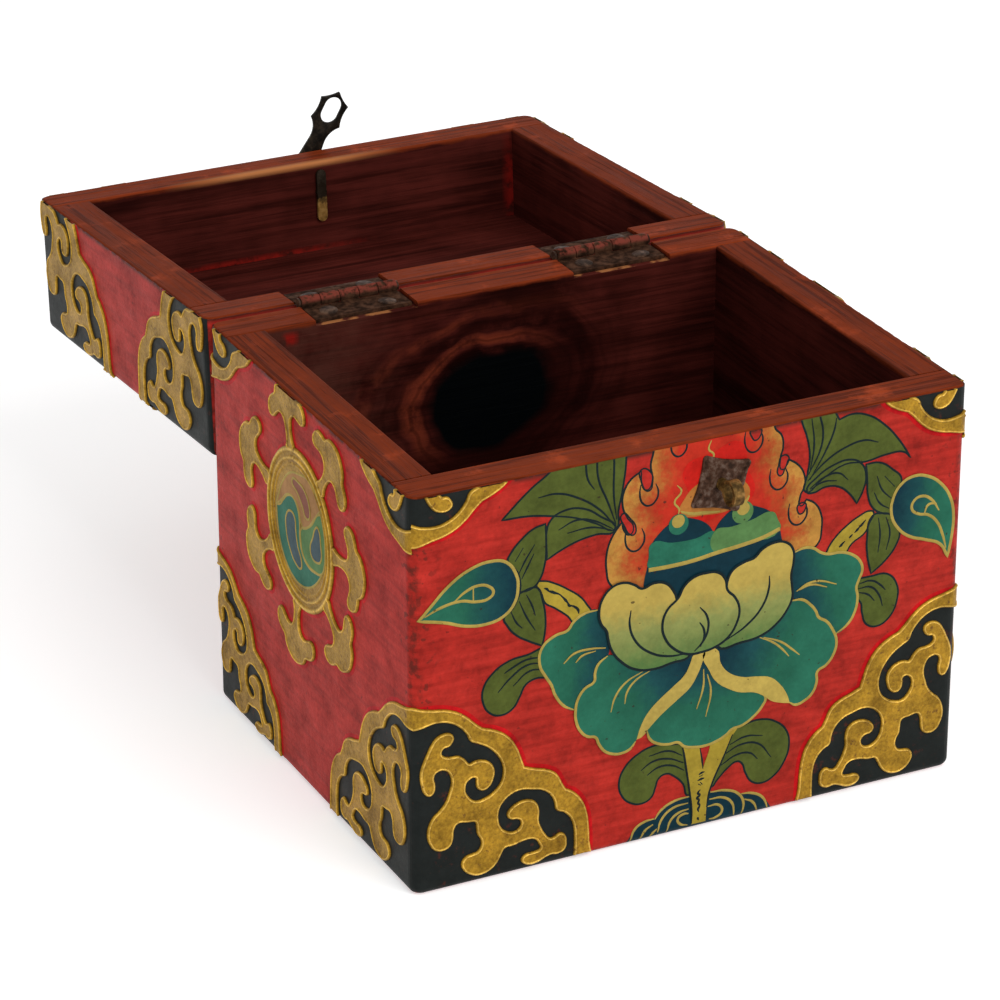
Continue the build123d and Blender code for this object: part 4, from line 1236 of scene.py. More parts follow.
# Leaves, buds, stems and the rock: outlines with their heights over the coat, then the lines on them
BUD_TOP = 0.18
ROCK_TOP = 0.03
LEAVES = [
    ([(-20.2, 80.8), (-19.6, 85), (-18.6, 90), (-17.8, 97.8), (-18.6, 104), (-21.5, 109, 0), (-24.6, 104.5),
      (-28, 108.6, 0), (-31.6, 103), (-36.5, 97.8), (-41, 94.8), (-46.8, 89.9), (-48.2, 88.6, 0),
      (-42, 88.3), (-36.4, 87.2), (-30, 85.4), (-25, 83)], 0.06),
    ([(-20.4, 80.6), (-24, 84.5), (-28.5, 87.4), (-33, 87.8), (-36.3, 86.2), (-37.4, 83), (-37.3, 79.5),
      (-37.2, 76.8, 0), (-33, 78.7), (-29, 79.9), (-25, 80.4)], 0.08),
    ([(-37.6, 85.6, 0), (-40.5, 85), (-43.5, 83), (-46, 80.3), (-46.8, 78.6), (-44.5, 75.5), (-43.7, 72.5),
      (-43.8, 70.3, 0), (-41, 70.6), (-39.2, 72), (-37.7, 76), (-37.4, 81)], 0.10),
    ([(-43.8, 70.1, 0), (-40.6, 70.8), (-39.4, 70.4), (-38.3, 67.5), (-37.5, 63), (-37.7, 58.5),
      (-38.3, 56, 0), (-41.5, 57.8), (-45, 60.3), (-47, 63), (-47.7, 64.8), (-45.5, 66.8)], 0.10),
    ([(-36, 55), (-42, 54.5), (-46.5, 54), (-50.5, 51.8), (-52.8, 48.5), (-52.8, 45), (-51.2, 42.2),
      (-48.5, 41), (-45.5, 42), (-43.8, 44.5), (-42.3, 47.2), (-40, 48.2), (-36, 48.3)], 0.06),
    ([(28, 79.8), (28.3, 84), (28.8, 88), (28, 93), (26.3, 98), (25.8, 103), (28.6, 109, 0), (32.2, 104),
      (35.5, 97.2), (36.2, 96, 0), (39.5, 96.7), (43.5, 95.7), (48, 92.5), (52, 88), (55.4, 82.8, 0),
      (53.5, 84.6), (49, 84.9), (43.5, 84.2), (38, 84.6), (32, 82)], 0.06),
    ([(28.3, 79.8), (31, 83), (35, 85), (39.5, 85.5), (42.5, 83.8), (43.7, 80.5), (43, 77), (41.5, 74.2, 0),
      (39.5, 77), (36.5, 79.4), (33, 80), (30, 79.2)], 0.08),
    ([(43.6, 83.5, 0), (47, 83.3), (50.5, 81), (53.2, 77.6), (51.6, 75), (50.9, 71.5), (50.7, 69.7, 0),
      (48, 70.5), (45.8, 72.2), (44.4, 75.5), (44, 80)], 0.10),
    ([(45.8, 70.2), (48.5, 70.3), (50.7, 69.6, 0), (51.6, 67), (53.2, 64.6), (52.4, 61.5), (49.5, 58),
      (46, 55.6, 0), (44.9, 60), (44.6, 65)], 0.10),
    ([(40, 55.3), (43, 55), (46, 54.9), (50.3, 54.6), (53, 51.5), (53.3, 47.3), (51.3, 43.2), (48.2, 41.7),
      (45.3, 42.8), (44, 46), (43.5, 48.8), (41, 51)], 0.06),
    ([(0, 22.4), (-5, 23.4), (-9.5, 24.2), (-14, 22.9), (-17.2, 20.3), (-18.6, 16.8), (-17.8, 13.2),
      (-15.5, 10.8), (-12.7, 10), (-10.2, 11), (-9.2, 13.3), (-8.4, 15.4), (-6.5, 16.2), (-4.3, 15),
      (-2, 12.5), (-0.4, 9.2), (1, 14)], 0.06),
    ([(9, 22.6), (14, 24.2), (18, 24.5), (22, 23), (25, 19.8), (25.7, 15.8), (24.5, 12), (22, 9),
      (18.8, 7.8), (16, 8.8), (14.3, 11.5), (13.3, 14.2), (12, 15), (9.5, 13.8), (7, 11.5), (5.2, 10),
      (6, 16)], 0.06),
]
LEAF_VEINS = [
    [(-20.4, 81.4), (-24, 86), (-30, 90.4), (-35, 92.3), (-39.4, 92.2)],
    [(-20.2, 82), (-22.4, 88), (-24.6, 93.5), (-25, 98.2), (-24.6, 103)],
    [(-20, 83), (-20.8, 89), (-20.8, 96.6), (-21, 103)],
    [(-25.6, 91.4), (-27.2, 94), (-27.8, 98.4), (-28, 103)],
    [(-21, 81), (-26, 84), (-30, 84.9), (-34.4, 83.4)], [(-21.4, 80.8), (-26.4, 82.4), (-32.2, 82.2)],
    [(-43, 81), (-45, 78)], [(-40.2, 81.2), (-42.6, 77.6), (-44, 75)],
    [(-40.4, 79), (-42, 76), (-43.4, 73.4)], [(-46, 66), (-44.6, 63), (-43.2, 61.4)],
    [(-44, 68.2), (-42.2, 64), (-40, 60.2)], [(-42.2, 69.4), (-40.8, 66.4), (-40, 63.8)],
    [(-37.6, 53), (-42, 53.4), (-46, 52), (-47.6, 51.2)],
    [(-37.6, 51.6), (-42, 52), (-46, 49.8), (-49.2, 46.8)], [(-37.6, 50), (-41.4, 50.4), (-45.4, 47.6)],
    [(28.4, 82.4), (33, 86.4), (38, 88.8), (43, 89.6), (46.6, 88.4)],
    [(28.6, 84), (31.6, 90), (32, 94), (31, 98.4), (30.4, 103)],
    [(29, 82.6), (33.4, 90), (35, 94), (35.4, 96.6)], [(29, 85), (29.8, 91), (29, 97.6)],
    [(29, 80.4), (33, 82.6), (36.4, 82.8), (39, 80.6)], [(29.2, 80.2), (32.6, 81.4), (36, 81)],
    [(48.6, 79.6), (51.4, 76.4)], [(46.6, 80), (48, 76.4), (50.8, 73.4)],
    [(46, 76), (47.6, 73), (50.4, 71)], [(47.4, 69.4), (48, 65), (47.6, 60.6)],
    [(49.4, 69.2), (50.6, 65), (49.8, 60.8)], [(43, 53.6), (46, 53.8), (48.8, 52), (50, 50.6)],
    [(42.8, 52.4), (46, 52.2), (48.4, 49.6), (49.4, 46.6)], [(43, 51.4), (45.4, 50.4), (47.2, 48.4)],
    [(-2.4, 20), (-6, 22), (-11, 21.8)], [(-2, 18), (-6, 20), (-10, 20.2), (-13, 18.6)],
    [(-1.8, 16), (-5, 18), (-8.4, 18.4), (-11.4, 17)], [(10, 19.8), (14, 21), (18.6, 20.2)],
    [(8.6, 17.6), (13, 19.2), (17.4, 18.4), (21, 14)], [(7.8, 15), (12, 16.8), (15.4, 16.4), (17.4, 14.4)],
]
BUDS = [
    ([(-68.4, 68.6, 0), (-65.5, 71.5), (-61, 75.7), (-56, 78.5), (-51, 79.4), (-47.2, 78.4), (-44.8, 75),
      (-44.3, 71.8), (-45.3, 67.8), (-48, 65.3), (-52, 64.4), (-57, 65), (-62, 66.9)], ((-45, 71),
      (-66, 70))),
    ([(66.4, 55.6, 0), (64.2, 59.3), (60, 61.3), (55.8, 63), (52.6, 65.8), (50.8, 69.5), (51, 73.3),
      (53, 76.6), (56.2, 78), (60, 77.3), (63.8, 74.6), (66.5, 70.5), (67.5, 66), (67.3, 61)], ((51.5, 69),
      (67, 66))),
]
BUD_LINES = [
    [(-67, 69.3), (-63, 70.8), (-58, 71.3), (-54.5, 70.4), (-51.3, 70.6), (-50.3, 71.8), (-51.5, 73.5),
     (-54, 74.2), (-57, 73.4), (-59.8, 71.5)], [(-55.2, 70.6), (-55.2, 73.8)],
    [(65.8, 58), (64.8, 61.5), (63, 65.3), (60.5, 67.5), (58, 68.2), (56.2, 69.8), (56.7, 71.8), (59, 72.5),
     (61.5, 71), (63.5, 68)], [(59.6, 68), (60.6, 70), (62.8, 69.8)],
]
# Each stem: its outline, its height over the coat and the brush marks on it
STEMS = [
    ([(-39.5, 71.7), (-38, 71.8), (-35, 70.5), (-32, 68.5), (-29, 66.1), (-27.4, 64), (-26.2, 61),
      (-29.8, 59.5), (-32, 61.9), (-35.2, 64.6), (-37.6, 66.4), (-38.4, 68.6)], 0.07, [[(-37.9, 70),
       (-37.2, 69.7, 0.34), (-36.7, 69.1, 0.2), (-35.9, 68.7, 0.36), (-35.2, 68.3, 0.32),
       (-34.2, 67.8, 0.17), (-33.3, 66.9, 0.18), (-32.5, 65.9, 0.34), (-32, 65.2, 0.2), (-31.6, 64.4, 0.36),
       (-30.9, 64.2, 0.2), (-30, 63.6, 0.32), (-29.4, 62.9, 0.34), (-29.2, 61.9, 0.32)]]),
    ([(46.1, 71), (45, 71.6), (42.4, 70.9), (39.2, 69.2), (36, 66.6), (34.2, 64), (33.8, 61.8),
      (38.2, 61.5), (40.6, 64.3), (44, 66.4), (45.1, 68.6)], 0.07, [[(37.2, 64.1), (37.7, 64.4, 0.36),
       (38.2, 64.9, 0.26), (38.8, 65.3)], [(39.8, 65.8), (40.2, 66.2, 0.3), (40.7, 66.6)], [(41.2, 66.9),
       (41.9, 67.5, 0.36), (42.4, 68, 0.2), (43, 68.5, 0.36), (44.1, 69.6)]]),
    ([(-2.9, 24.8), (1.6, 24), (2.2, 20.3), (2.8, 17.4), (3.05, 15.2, 0), (3.5, 16.6), (4.4, 19), (5.6, 23),
      (8, 25), (11.8, 24.9), (10.2, 21.5), (8, 16.2), (6, 12), (4.7, 8.2), (4.2, 5), (4.05, 1.4, 0),
      (0.4, 1.4, 0), (0.35, 5), (-0.3, 10.2), (-1.4, 17), (-1.9, 20), (-2.4, 22.6)], 0.155, [[(-2.4, 22.6),
       (-1.9, 20), (-1.4, 17), (-0.3, 10.2), (0.35, 5), (0.4, 1.6)], [(10.6, 22.4), (8, 16.2), (6, 12),
       (4.7, 8.2), (4.2, 5)], [(2.1, 21.2), (2.8, 17.4), (3.05, 15.3)], [(2, 13.9), (2.7, 14.3, 0.32),
       (3.5, 14.4)], [(2.1, 13.4), (3.1, 13.7)], [(1.7, 12.5), (2.6, 12.7, 0.36), (3.5, 12.8)], [(2.4, 12),
       (3, 11.2)], [(1.9, 11.6), (2.6, 11.1)], [(2.5, 10), (1.9, 9.2, 0.34), (2.4, 8.6, 0.26),
       (1.7, 8, 0.34), (2.2, 7.4, 0.26), (2, 6.6, 0.34), (2.4, 5.9, 0.26), (2, 5, 0.34), (2.2, 4.2, 0.2)],
      [(1.8, 2.9), (2, 2.6, 0.36), (2.2, 2.1)]]),
]
ROCK = [
    (-15.8, -1.5), (-15, 3), (-12, 5.1), (-9.5, 5.3), (-8, 7), (-5, 8.4), (-1, 8.9), (3, 8.7), (6, 8.7),
    (9.5, 8), (12.5, 6.5), (15, 6.1), (18, 5), (20.3, 2.5), (21.4, -1.5),
]
ROCK_LINES = [
    [(-15.6, 0), (-14.4, 3.6), (-12, 5), (-9.4, 5.2)], [(-13, 0), (-11.8, 2.6), (-9.6, 3.8)],
    [(-10.4, 0.2), (-9.6, 1.6), (-8.6, 2.4)], [(-9.2, 5), (-7.6, 7), (-4, 8.6), (0, 8.8)],
    [(-8.4, 1.4), (-7.4, 4.6), (-4.6, 6.8), (-0.6, 7.2)], [(-6, 0.8), (-5, 3.8), (-3, 5.2), (-0.4, 5.6)],
    [(-0.6, 1.4), (-2.6, 2.2), (-3.2, 3.6), (-1.6, 4.6), (-0.4, 4.4)],
    [(5.2, 8.6), (9, 8.2), (12.4, 6.6), (14, 4), (13.6, 0.6)], [(5, 6.8), (8.6, 6.4), (11, 4.4), (11.6, 1)],
    [(4.6, 5), (7.4, 4.8), (8.4, 3), (6.6, 1.6), (5, 1.6)], [(13.4, 6.2), (16, 5.8), (19, 4), (20.6, 0.6)],
    [(14.2, 4.6), (16.4, 3.4), (17.8, 0.6)],
]


def shaded_flame():
    """The flames as one film, shaded by the distance from their middle and from their edge."""
    flame = film(FLAME, FLAME_TOP)
    edit_all(flame)
    bpy.ops.mesh.quads_convert_to_tris()
    for _ in range(3):
        bpy.ops.mesh.subdivide(number_cuts=1)
    end_edit()
    co = points_of(flame)[:, :2]
    edge = np.array([p[:2] for p in FLAME])
    way = np.roll(edge, -1, axis=0) - edge
    along = np.clip(((co[:, None] - edge) * way).sum(2) / (way**2).sum(1), 0, 1)
    to_edge = np.linalg.norm(co[:, None] - edge - along[..., None] * way, axis=2).min(1)
    across, up = FLAME_MIDDLE
    wide, high, deep = FLAME_REACH
    from_middle = np.hypot((co[:, 0] - across) / wide, (co[:, 1] - up) / np.where(co[:, 1] > up, high, deep))
    set_tone(flame, 0.45 * from_middle + 0.55 * np.clip(1 - to_edge / FLAME_EDGE, 0, 1))
    return flame


# The stage: how much brighter the white ground looks than it shines, the lamps' places, power in watts, aim
# and size, the lens in millimetres, and the camera's angles in degrees, its aim and its distance in metres
GLOW = 0.45
LAMPS = [("key", (0.35, -1.3, 1.2), 16), ("fill", (-1.3, -0.4, 0.9), 2)]
LAMP_AIM = (0, 0, 0.05)
LAMP_SIZE = 1.2
LENS = 157.66
CAMERA_TURN = -26.35
CAMERA_RISE = 24.9
CAMERA_AIM = (-0.0195, 0.00369, 0.06312)
CAMERA_DISTANCE = 1.01978


class PaintedBoxOperator:
    """What every step of the box shares."""

    bl_options = {"REGISTER", "UNDO"}


class PAINTEDBOX_OT_finishes(PaintedBoxOperator, bpy.types.Operator):
    """Mix every paint, wood and metal finish"""

    bl_idname = "painted_box.finishes"
    bl_label = "Finishes"

    def execute(self, context):
        paint = context.scene.painted_box_paint
        wood = context.scene.painted_box_wood
        paint_age_group()
        wood_grain_group()
        metal_age_group()
        red_ground("red_ground", False)
        red_ground("lid_red_ground", True)
        flame_paint()
        gilding()
        for name, base, *wear in (
            ("dark_ground", paint.dark, 0.3, (0.085, 0.022, 0.015, 1)),
            ("ink", paint.ink),
            ("cream_line", shade_of(paint.cream, 0.85)),
            # The crimson line round the gilding: partly the painter's outline, partly painted shade at the
            # relief's foot
            ("red_line", (0.56, 0.007, 0.010, 1), 0.5),
            ("bright_red", (0.62, 0.016, 0.010, 1)),
            ("leaf_green", paint.olive, 0.35),
            ("stem_yellow", paint.yellow),
            ("navy_paint", paint.navy),
            ("teal_paint", shade_of(paint.teal, 1.15)),
            ("pale_green_paint", (0.10, 0.22, 0.07, 1)),
            ("cream_paint", paint.cream),
            ("jewel_orange", (0.45, 0.17, 0.035, 1)),
            ("jewel_tan", (0.42, 0.205, 0.065, 1)),
            ("mauve_paint", (0.27, 0.088, 0.055, 1)),
            ("slate_paint", (0.045, 0.085, 0.10, 1)),
        ):
            plain_paint(name, base, *wear)
        teals = [(0.62, shade_of(paint.teal, 0.9)), (1.0, shade_of(paint.teal, 1.15))]
        shaded_paint("petal_teal", [(0.0, paint.navy), (0.3, (0.010, 0.065, 0.070)), *teals])
        creams = [(0.75, paint.cream), (1.0, paint.cream)]
        shaded_paint("petal_cream", [(0.0, paint.green), (0.45, (0.27, 0.29, 0.085)), *creams])
        for along in "XY":
            stained_wood("box_wood_" + along, along, False)
            stained_wood("lid_wood_" + along, along, True)
        stained_wood("box_wood_knot", "X", False, "knot")
        stained_wood("lid_wood_clasp", "X", True, "clasp")
        hinge_iron()
        eye_brass()
        old_metal("nail_heads", (0.040, 0.020, 0.012), (0.105, 0.055, 0.032), 0.5, 0.15, 0.1, 0.2)
        old_metal("rusted_plate", wood.rust, (0.15, 0.10, 0.075), 0.55, 0.2)
        old_metal("hasp_iron", (0.014, 0.011, 0.008), (0.036, 0.028, 0.019), 0.5, 0.3)
        old_metal("staple_brass", shade_of(wood.brass, 0.3), (0.32, 0.17, 0.05), 0.5, 0.4)
        old_metal("nail_wire", (0.20, 0.17, 0.15), (0.36, 0.32, 0.28), 0.4)
        return {"FINISHED"}


class PAINTEDBOX_OT_boards(PaintedBoxOperator, bpy.types.Operator):
    """Stain the bare wood of the boards and finish the hidden nails"""

    bl_idname = "painted_box.boards"
    bl_label = "Boards"

    def execute(self, context):
        for finish, names in (
            ("box_wood_knot", ["back_board"]),
            ("box_wood_X", ["front_board", "base_board"]),
            ("box_wood_Y", ["left_board", "right_board"]),
            ("lid_wood_X", ["lid_back_board", "lid_top_board"]),
            ("lid_wood_clasp", ["lid_front_board"]),
            ("lid_wood_Y", ["lid_left_board", "lid_right_board"]),
            ("nail_wire", ["wall_nails", "base_nails", "lid_wall_nails", "lid_top_nails"]),
        ):
            for name in names:
                set_finish(frame["nodes"][name], finish)
        return {"FINISHED"}


class PAINTEDBOX_OT_red_coat(PaintedBoxOperator, bpy.types.Operator):
    """Cover the outside of box and lid with gesso and red paint"""

    bl_idname = "painted_box.red_coat"
    bl_label = "Red ground"

    def execute(self, context):
        coat = context.scene.painted_box_paint.coat
        box = coat_shell("box_coat", -coat, RIM + 1, False)
        dress(box, "red_ground", "box")
        lid = coat_shell("lid_coat", LID_RIM - 1, TOP + coat, True)
        lid.data.transform(OPEN_LID)
        dress(lid, "lid_red_ground", "lid")
        return {"FINISHED"}


class PAINTEDBOX_OT_corners(PaintedBoxOperator, bpy.types.Operator):
    """Raise and gild the cloud scrolls in the corners"""

    bl_idname = "painted_box.corners"
    bl_label = "Corner scrolls"

    def execute(self, context):
        relief = context.scene.painted_box_paint.relief
        for face, places in CORNERS.items():
            grounds, golds, crimson_lines_and_shade = [], [], []
            for place in places:
                scroll = [SCROLL_EDGE + SCROLL_INSIDE, SCROLL_GROUND, SCROLL_EDGE]
                outline, ground, edge = moved(scroll, *place)
                grounds.append(film(ground, 0.05))
                golds += gilded(inset(outline, 0.1), relief)
                # A crimson line along the scroll's outer edge: partly its painted outline, partly painted
                # shade at the foot of the relief
                crimson_lines_and_shade.append(strokes([[p[:2] for p in edge]], 1.7, 0.0, 0.08, taper=False))
            apply_drawing(face + "_corner_ground", grounds, "dark_ground", face)
            apply_drawing(face + "_corner_line", crimson_lines_and_shade, "red_line", face)
            apply_drawing(face + "_corner_gold", golds, "gilding", face, foot=1.2)
        return {"FINISHED"}


class PAINTEDBOX_OT_medallions(PaintedBoxOperator, bpy.types.Operator):
    """Raise the flaming wheels of the sides and the lid"""

    bl_idname = "painted_box.medallions"
    bl_label = "Medallions"

    def execute(self, context):
        relief = context.scene.painted_box_paint.relief
        for face, (across, up, way, scale) in MEDALLIONS.items():
            centre = (across, up)
            disc = film(round_outline(centre, WHEEL_RADIUS * scale, 24, WHEEL_STRETCH), relief * 0.5)
            even_tone(disc, DISC_TONE)
            rings = [
                ring_line(centre, (WHEEL_RADIUS - inside) * scale, half * scale, stretch=WHEEL_STRETCH)
                for inside, half in BEADS
            ]
            gold = [disc, strokes(rings, 2.0, 0.0, relief * 1.05, closed=True)]
            tongues = [tongue_at(turn, centre, way, scale) for turn in TONGUE_TURNS]
            for tongue in tongues:
                gold += gilded(tongue, relief)
            outlines = tongues + [ring_line(centre, WHEEL_RADIUS * scale, 0.9, stretch=WHEEL_STRETCH)]
            # The crimson lines round the wheel and its flames are shifted a little across and up, as painted
            # shade on one side of the relief
            lines = strokes(moved(outlines, -0.2 * way, 0.1, 1, 1, 1), 1.7, 0.0, 0.08, closed=True)
            apply_drawing(face + "_wheel_line", [lines], "red_line", face, False)
            apply_drawing(face + "_wheel_gold", gold, "gilding", face, False)
            drawn = [
                (finish, top, moved([outline], across, up, way, 1, scale * COMMA_SCALE)[0])
                for finish, top, outline in COMMAS
            ]
            for finish in dict.fromkeys(finish for finish, _, _ in drawn):
                parts = [film(outline, top) for kind, top, outline in drawn if kind == finish]
                apply_drawing(face + "_wheel_" + finish, parts, finish, face)
            edges = [strokes([outline], 0.6, top - 0.02, 0.1, closed=True) for _, top, outline in drawn]
            apply_drawing(face + "_wheel_edge", edges, "cream_line", face)
        return {"FINISHED"}


class PAINTEDBOX_OT_flames(PaintedBoxOperator, bpy.types.Operator):
    """Paint the flames and the jewels above the lotus"""

    bl_idname = "painted_box.flames"
    bl_label = "Flames and jewels"

    def execute(self, context):
        apply_drawing("flame", [shaded_flame()], "flame_paint", "front")
        curls = [moved([CURL], *centre, 1, 1, size)[0] for centre, size in FLAME_CURLS]
        lines = [
            strokes([FLAME], 0.5, FLAME_TOP, 0.06, closed=True),
            strokes(curls, 0.5, FLAME_TOP, 0.06),
            strokes(FLAME_GAPS, 0.42, 0.09, 0.06, closed=True),
        ]
        apply_drawing("flame_lines", lines, "ink", "front")
        apply_drawing("flame_gaps", [film(gap, 0.1) for gap in FLAME_GAPS], "red_ground", "front")
        low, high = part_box("lock_plate")
        across, up = (low.x + high.x) / 2 / MM, (low.z + high.z) / 2 / MM
        turns = [(math.radians(15 + 45 * i), (7.6, 10.2)[i % 2]) for i in range(8)]
        halo = [(across - 0.4 + r * math.cos(t), up + 0.4 + r * math.sin(t)) for t, r in turns]
        for name, shapes, finish in (
            ("plate_red", [(halo, 0.1)], "bright_red"),
            ("third_jewel", [(THIRD_JEWEL, 0.13)], "jewel_orange"),
            ("jewels", JEWELS, "navy_paint"),
            ("jewel_bands", [(JEWEL_BAND, 0.18)], "teal_paint"),
            ("jewel_bands_pale", [(JEWEL_BAND_PALE, 0.19)], "pale_green_paint"),
            ("jewel_tip", [(round_outline((-4.5, 78.6), 2.5), 0.2)], "teal_paint"),
            ("jewel_tip_pale", [(round_outline((11.8, 78.2), 2.7), 0.2)], "pale_green_paint"),
        ):
            apply_drawing(name, [film(outline, top) for outline, top in shapes], finish, "front")
        creams = [film(round_outline(centre, 1.6), 0.23) for centre in ((-4.6, 79.4), (11.9, 79.1))]
        creams.append(strokes(JEWEL_LINES, 1.0, 0.19, 0.12, taper=False))
        creams.append(strokes(THIRD_JEWEL_LINES, 0.8, 0.14, 0.1))
        creams.append(strokes(LIGHT_RAYS, 0.5, 0.12, 0.08))
        apply_drawing("jewel_lines", creams, "cream_line", "front")
        return {"FINISHED"}


class PAINTEDBOX_OT_lotus(PaintedBoxOperator, bpy.types.Operator):
    """Paint the open lotus on the front"""

    bl_idname = "painted_box.lotus"
    bl_label = "Lotus"

    def execute(self, context):
        petals = [film(outline, top, tone) for outline, top, tone in OUTER_PETALS]
        apply_drawing("petals", petals, "petal_teal", "front", False)
        edges = [
            strokes([outline[first:last]], 0.7, top - 0.01, 0.07)
            for (outline, top, _), (first, last) in zip(OUTER_PETALS, PETAL_EDGES)
        ]
        edges.append(strokes(PETAL_VEINS, 0.55, 0.29, 0.07))
        apply_drawing("petal_lines", edges, "cream_line", "front", False)
        folds = [film(outline, 0.36) for outline in FOLDS]
        apply_drawing("petal_folds", folds, "cream_paint", "front", False)
        inner = [film(outline, top, INNER_TONE) for outline, top in INNER_PETALS]
        apply_drawing("inner_petals", inner, "petal_cream", "front", False)
        lines = [strokes([outline], 0.62, top, 0.07, closed=True) for outline, top in INNER_PETALS]
        lines.append(strokes(INNER_VEINS[:2], 0.6, 0.40, 0.07))
        lines.append(strokes(INNER_VEINS[2:], 0.6, 0.49, 0.07))
        apply_drawing("inner_petal_lines", lines, "ink", "front", False)
        return {"FINISHED"}


class PAINTEDBOX_OT_leaves(PaintedBoxOperator, bpy.types.Operator):
    """Paint the leaves, the buds, the stems and the rock they grow from"""

    bl_idname = "painted_box.leaves"
    bl_label = "Leaves and buds"

    def execute(self, context):
        apply_drawing("leaves", [film(outline, top) for outline, top in LEAVES], "leaf_green", "front")
        lines = [strokes([outline], 0.5, top, 0.05, closed=True) for outline, top in LEAVES]
        lines.append(strokes(LEAF_VEINS, 0.5, 0.1, 0.05))
        apply_drawing("leaf_lines", lines, "ink", "front")
        stems = [film(outline, top) for outline, top, _ in STEMS]
        apply_drawing("stems", stems, "stem_yellow", "front", False)
        stem_lines = [strokes([outline], 0.45, top, 0.05, closed=True) for outline, top, _ in STEMS[:2]]
        stem_lines += [strokes(marks, 0.5, top, 0.06) for _, top, marks in STEMS]
        apply_drawing("stem_lines", stem_lines, "ink", "front", False)
        buds = [film(outline, BUD_TOP, tone) for outline, tone in BUDS]
        apply_drawing("buds", buds, "petal_teal", "front", False)
        bud_edges = strokes([outline for outline, _ in BUDS], 0.75, BUD_TOP, 0.1, closed=True)
        bud_lines = strokes(BUD_LINES, 0.7, BUD_TOP, 0.1)
        apply_drawing("bud_lines", [bud_edges, bud_lines], "cream_line", "front", False)
        apply_drawing("rock", [film(ROCK, ROCK_TOP)], "navy_paint", "front", False)
        apply_drawing("rock_lines", [strokes(ROCK_LINES, 0.65, ROCK_TOP, 0.06)], "cream_line", "front", False)
        return {"FINISHED"}


class PAINTEDBOX_OT_hinges(PaintedBoxOperator, bpy.types.Operator):
    """Finish the hinge leaves and pins, and give the nails their domed heads"""

    bl_idname = "painted_box.hinges"
    bl_label = "Hinges"

    def execute(self, context):
        for side in ("left", "right"):
            for part in ("box_leaf", "lid_leaf"):
                softened(f"{side}_hinge_{part}", 0.12, "browned_hinge")
            set_finish(frame["nodes"][f"{side}_hinge_pin"], "nail_heads")
        head = nail_head()
        low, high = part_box("box_hinge_nails")
        first, last = low.x + NAIL_RADIUS, high.x - NAIL_RADIUS
        to_lid = OPEN_LID @ Matrix.Translation((0, 0, 2 * HINGE_AXIS.z)) @ Matrix.Scale(-1, 4, (0, 0, 1))
        for body, node_name in (("box", "box_hinge_nails"), ("lid", "lid_hinge_nails")):
            copies = []
            for x, (shift, *leans) in zip((first, first + NAIL_SPACING, last - NAIL_SPACING, last), NAILS):
                copy = copied(head)
                place = Matrix.Translation((x, (low.y + high.y) / 2 + shift * MM, high.z - NAIL_HEIGHT))
                for lean, axis in zip(leans, "XY"):
                    place = place @ Matrix.Rotation(math.radians(lean), 4, axis)
                copy.data.transform(to_lid @ place if body == "lid" else place)
                if body == "lid":
                    copy.data.flip_normals()
                copies.append(copy)
            nails = join(body + "_nail_heads", copies)
            dress(nails, "nail_heads", body)
            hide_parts(node_name)
        bpy.data.objects.remove(head)
        return {"FINISHED"}


class PAINTEDBOX_OT_clasp(PaintedBoxOperator, bpy.types.Operator):
    """Finish the plates, the staple, the eye and the hasp"""

    bl_idname = "painted_box.clasp"
    bl_label = "Clasp"

    def execute(self, context):
        for name in ("lock_plate", "hasp_plate"):
            dented(softened(name, 0.22, "rusted_plate"))
        softened("hasp", 0.2, "hasp_iron")
        softened("lock_staple", 0.15, "staple_brass")
        softened("hasp_eye", 0.15, "old_brass")
        return {"FINISHED"}


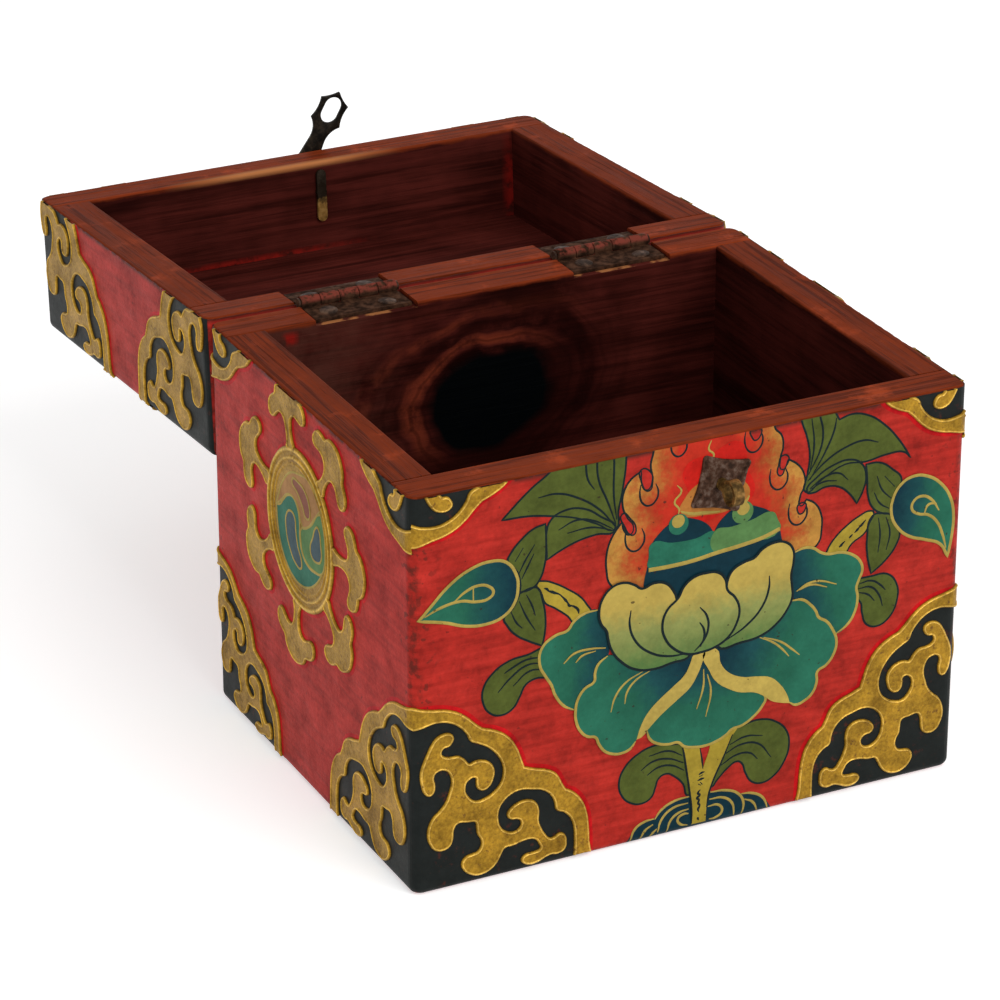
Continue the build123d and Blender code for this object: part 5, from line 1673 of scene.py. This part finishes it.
class PAINTEDBOX_OT_stage(PaintedBoxOperator, bpy.types.Operator):
    """Set the floor, the light and the camera"""

    bl_idname = "painted_box.stage"
    bl_label = "Stage"

    def execute(self, context):
        scene = context.scene
        scene.view_settings.view_transform = "Standard"
        bpy.ops.object.select_all(action="DESELECT")
        bpy.ops.mesh.primitive_plane_add(size=8, location=(0, 0, -0.0001))
        floor = context.view_layer.objects.active
        floor.name = "floor"
        material = bpy.data.materials.new("floor_white")
        material.use_nodes = True
        tree = material.node_tree
        surface = tree.nodes["Principled BSDF"]
        surface.inputs["Base Color"].default_value = (0.9, 0.9, 0.9, 1)
        surface.inputs["Roughness"].default_value = 0.9
        surface.inputs["Specular IOR Level"].default_value = 0.1
        surface.inputs["Emission Color"].default_value = (1, 1, 1, 1)
        link(tree, product(tree, seen_directly(tree), GLOW), surface.inputs["Emission Strength"])
        floor.data.materials.append(material)

        world = bpy.data.worlds.new("studio")
        scene.world = world
        world.use_nodes = True
        tree = world.node_tree
        back = tree.nodes["Background"]
        back.inputs["Color"].default_value = (1, 1, 1, 1)
        level = math_node(tree, "ADD", product(tree, seen_directly(tree), GLOW), 1 - GLOW)
        link(tree, level, back.inputs["Strength"])

        for name, spot, power in LAMPS:
            lamp = bpy.data.lights.new(name, "AREA")
            lamp.energy = power
            lamp.size = LAMP_SIZE
            obj = bpy.data.objects.new(name, lamp)
            scene.collection.objects.link(obj)
            obj.location = spot
            obj.rotation_euler = (Vector(LAMP_AIM) - Vector(spot)).to_track_quat("-Z", "Y").to_euler()

        lens = bpy.data.cameras.new("camera")
        lens.lens = LENS
        lens.sensor_width = 36.0
        lens.clip_start = 0.05
        lens.clip_end = 50
        camera = bpy.data.objects.new("camera", lens)
        scene.collection.objects.link(camera)
        turn, rise = math.radians(CAMERA_TURN), math.radians(CAMERA_RISE)
        back_way = Vector((math.sin(turn) * math.cos(rise), -math.cos(turn) * math.cos(rise), math.sin(rise)))
        camera.location = Vector(CAMERA_AIM) + back_way * CAMERA_DISTANCE
        camera.rotation_euler = (-back_way).to_track_quat("-Z", "Y").to_euler()
        scene.camera = camera
        return {"FINISHED"}


STEPS = (
    PAINTEDBOX_OT_finishes,
    PAINTEDBOX_OT_boards,
    PAINTEDBOX_OT_red_coat,
    PAINTEDBOX_OT_corners,
    PAINTEDBOX_OT_medallions,
    PAINTEDBOX_OT_flames,
    PAINTEDBOX_OT_leaves,
    PAINTEDBOX_OT_lotus,
    PAINTEDBOX_OT_hinges,
    PAINTEDBOX_OT_clasp,
    PAINTEDBOX_OT_stage,
)


class PAINTEDBOX_PT_panel(bpy.types.Panel):
    """Settings and steps of the painted box"""

    bl_idname = "PAINTEDBOX_PT_panel"
    bl_label = "Painted box"
    bl_space_type = "VIEW_3D"
    bl_region_type = "UI"
    bl_category = "Painted box"

    def draw(self, context):
        column = self.layout.column()
        for settings in (context.scene.painted_box_paint, context.scene.painted_box_wood):
            for name in settings.__annotations__:
                column.prop(settings, name)
        for step in STEPS:
            column.operator(step.bl_idname)


CLASSES = (PaintedBoxPaint, PaintedBoxWood, *STEPS, PAINTEDBOX_PT_panel)


def register():
    """Register the settings, the steps and the panel."""
    for cls in CLASSES:
        bpy.utils.register_class(cls)
    bpy.types.Scene.painted_box_paint = bpy.props.PointerProperty(type=PaintedBoxPaint)
    bpy.types.Scene.painted_box_wood = bpy.props.PointerProperty(type=PaintedBoxWood)


def unregister():
    """Undo register."""
    del bpy.types.Scene.painted_box_wood
    del bpy.types.Scene.painted_box_paint
    for cls in reversed(CLASSES):
        bpy.utils.unregister_class(cls)


def main():
    """Build the looks in order."""
    register()
    bpy.ops.painted_box.finishes()
    bpy.ops.painted_box.boards()
    bpy.ops.painted_box.red_coat()
    bpy.ops.painted_box.corners()
    bpy.ops.painted_box.medallions()
    bpy.ops.painted_box.flames()
    bpy.ops.painted_box.leaves()
    bpy.ops.painted_box.lotus()
    bpy.ops.painted_box.hinges()
    bpy.ops.painted_box.clasp()
    bpy.ops.painted_box.stage()


if __name__ == "__main__":
    main()
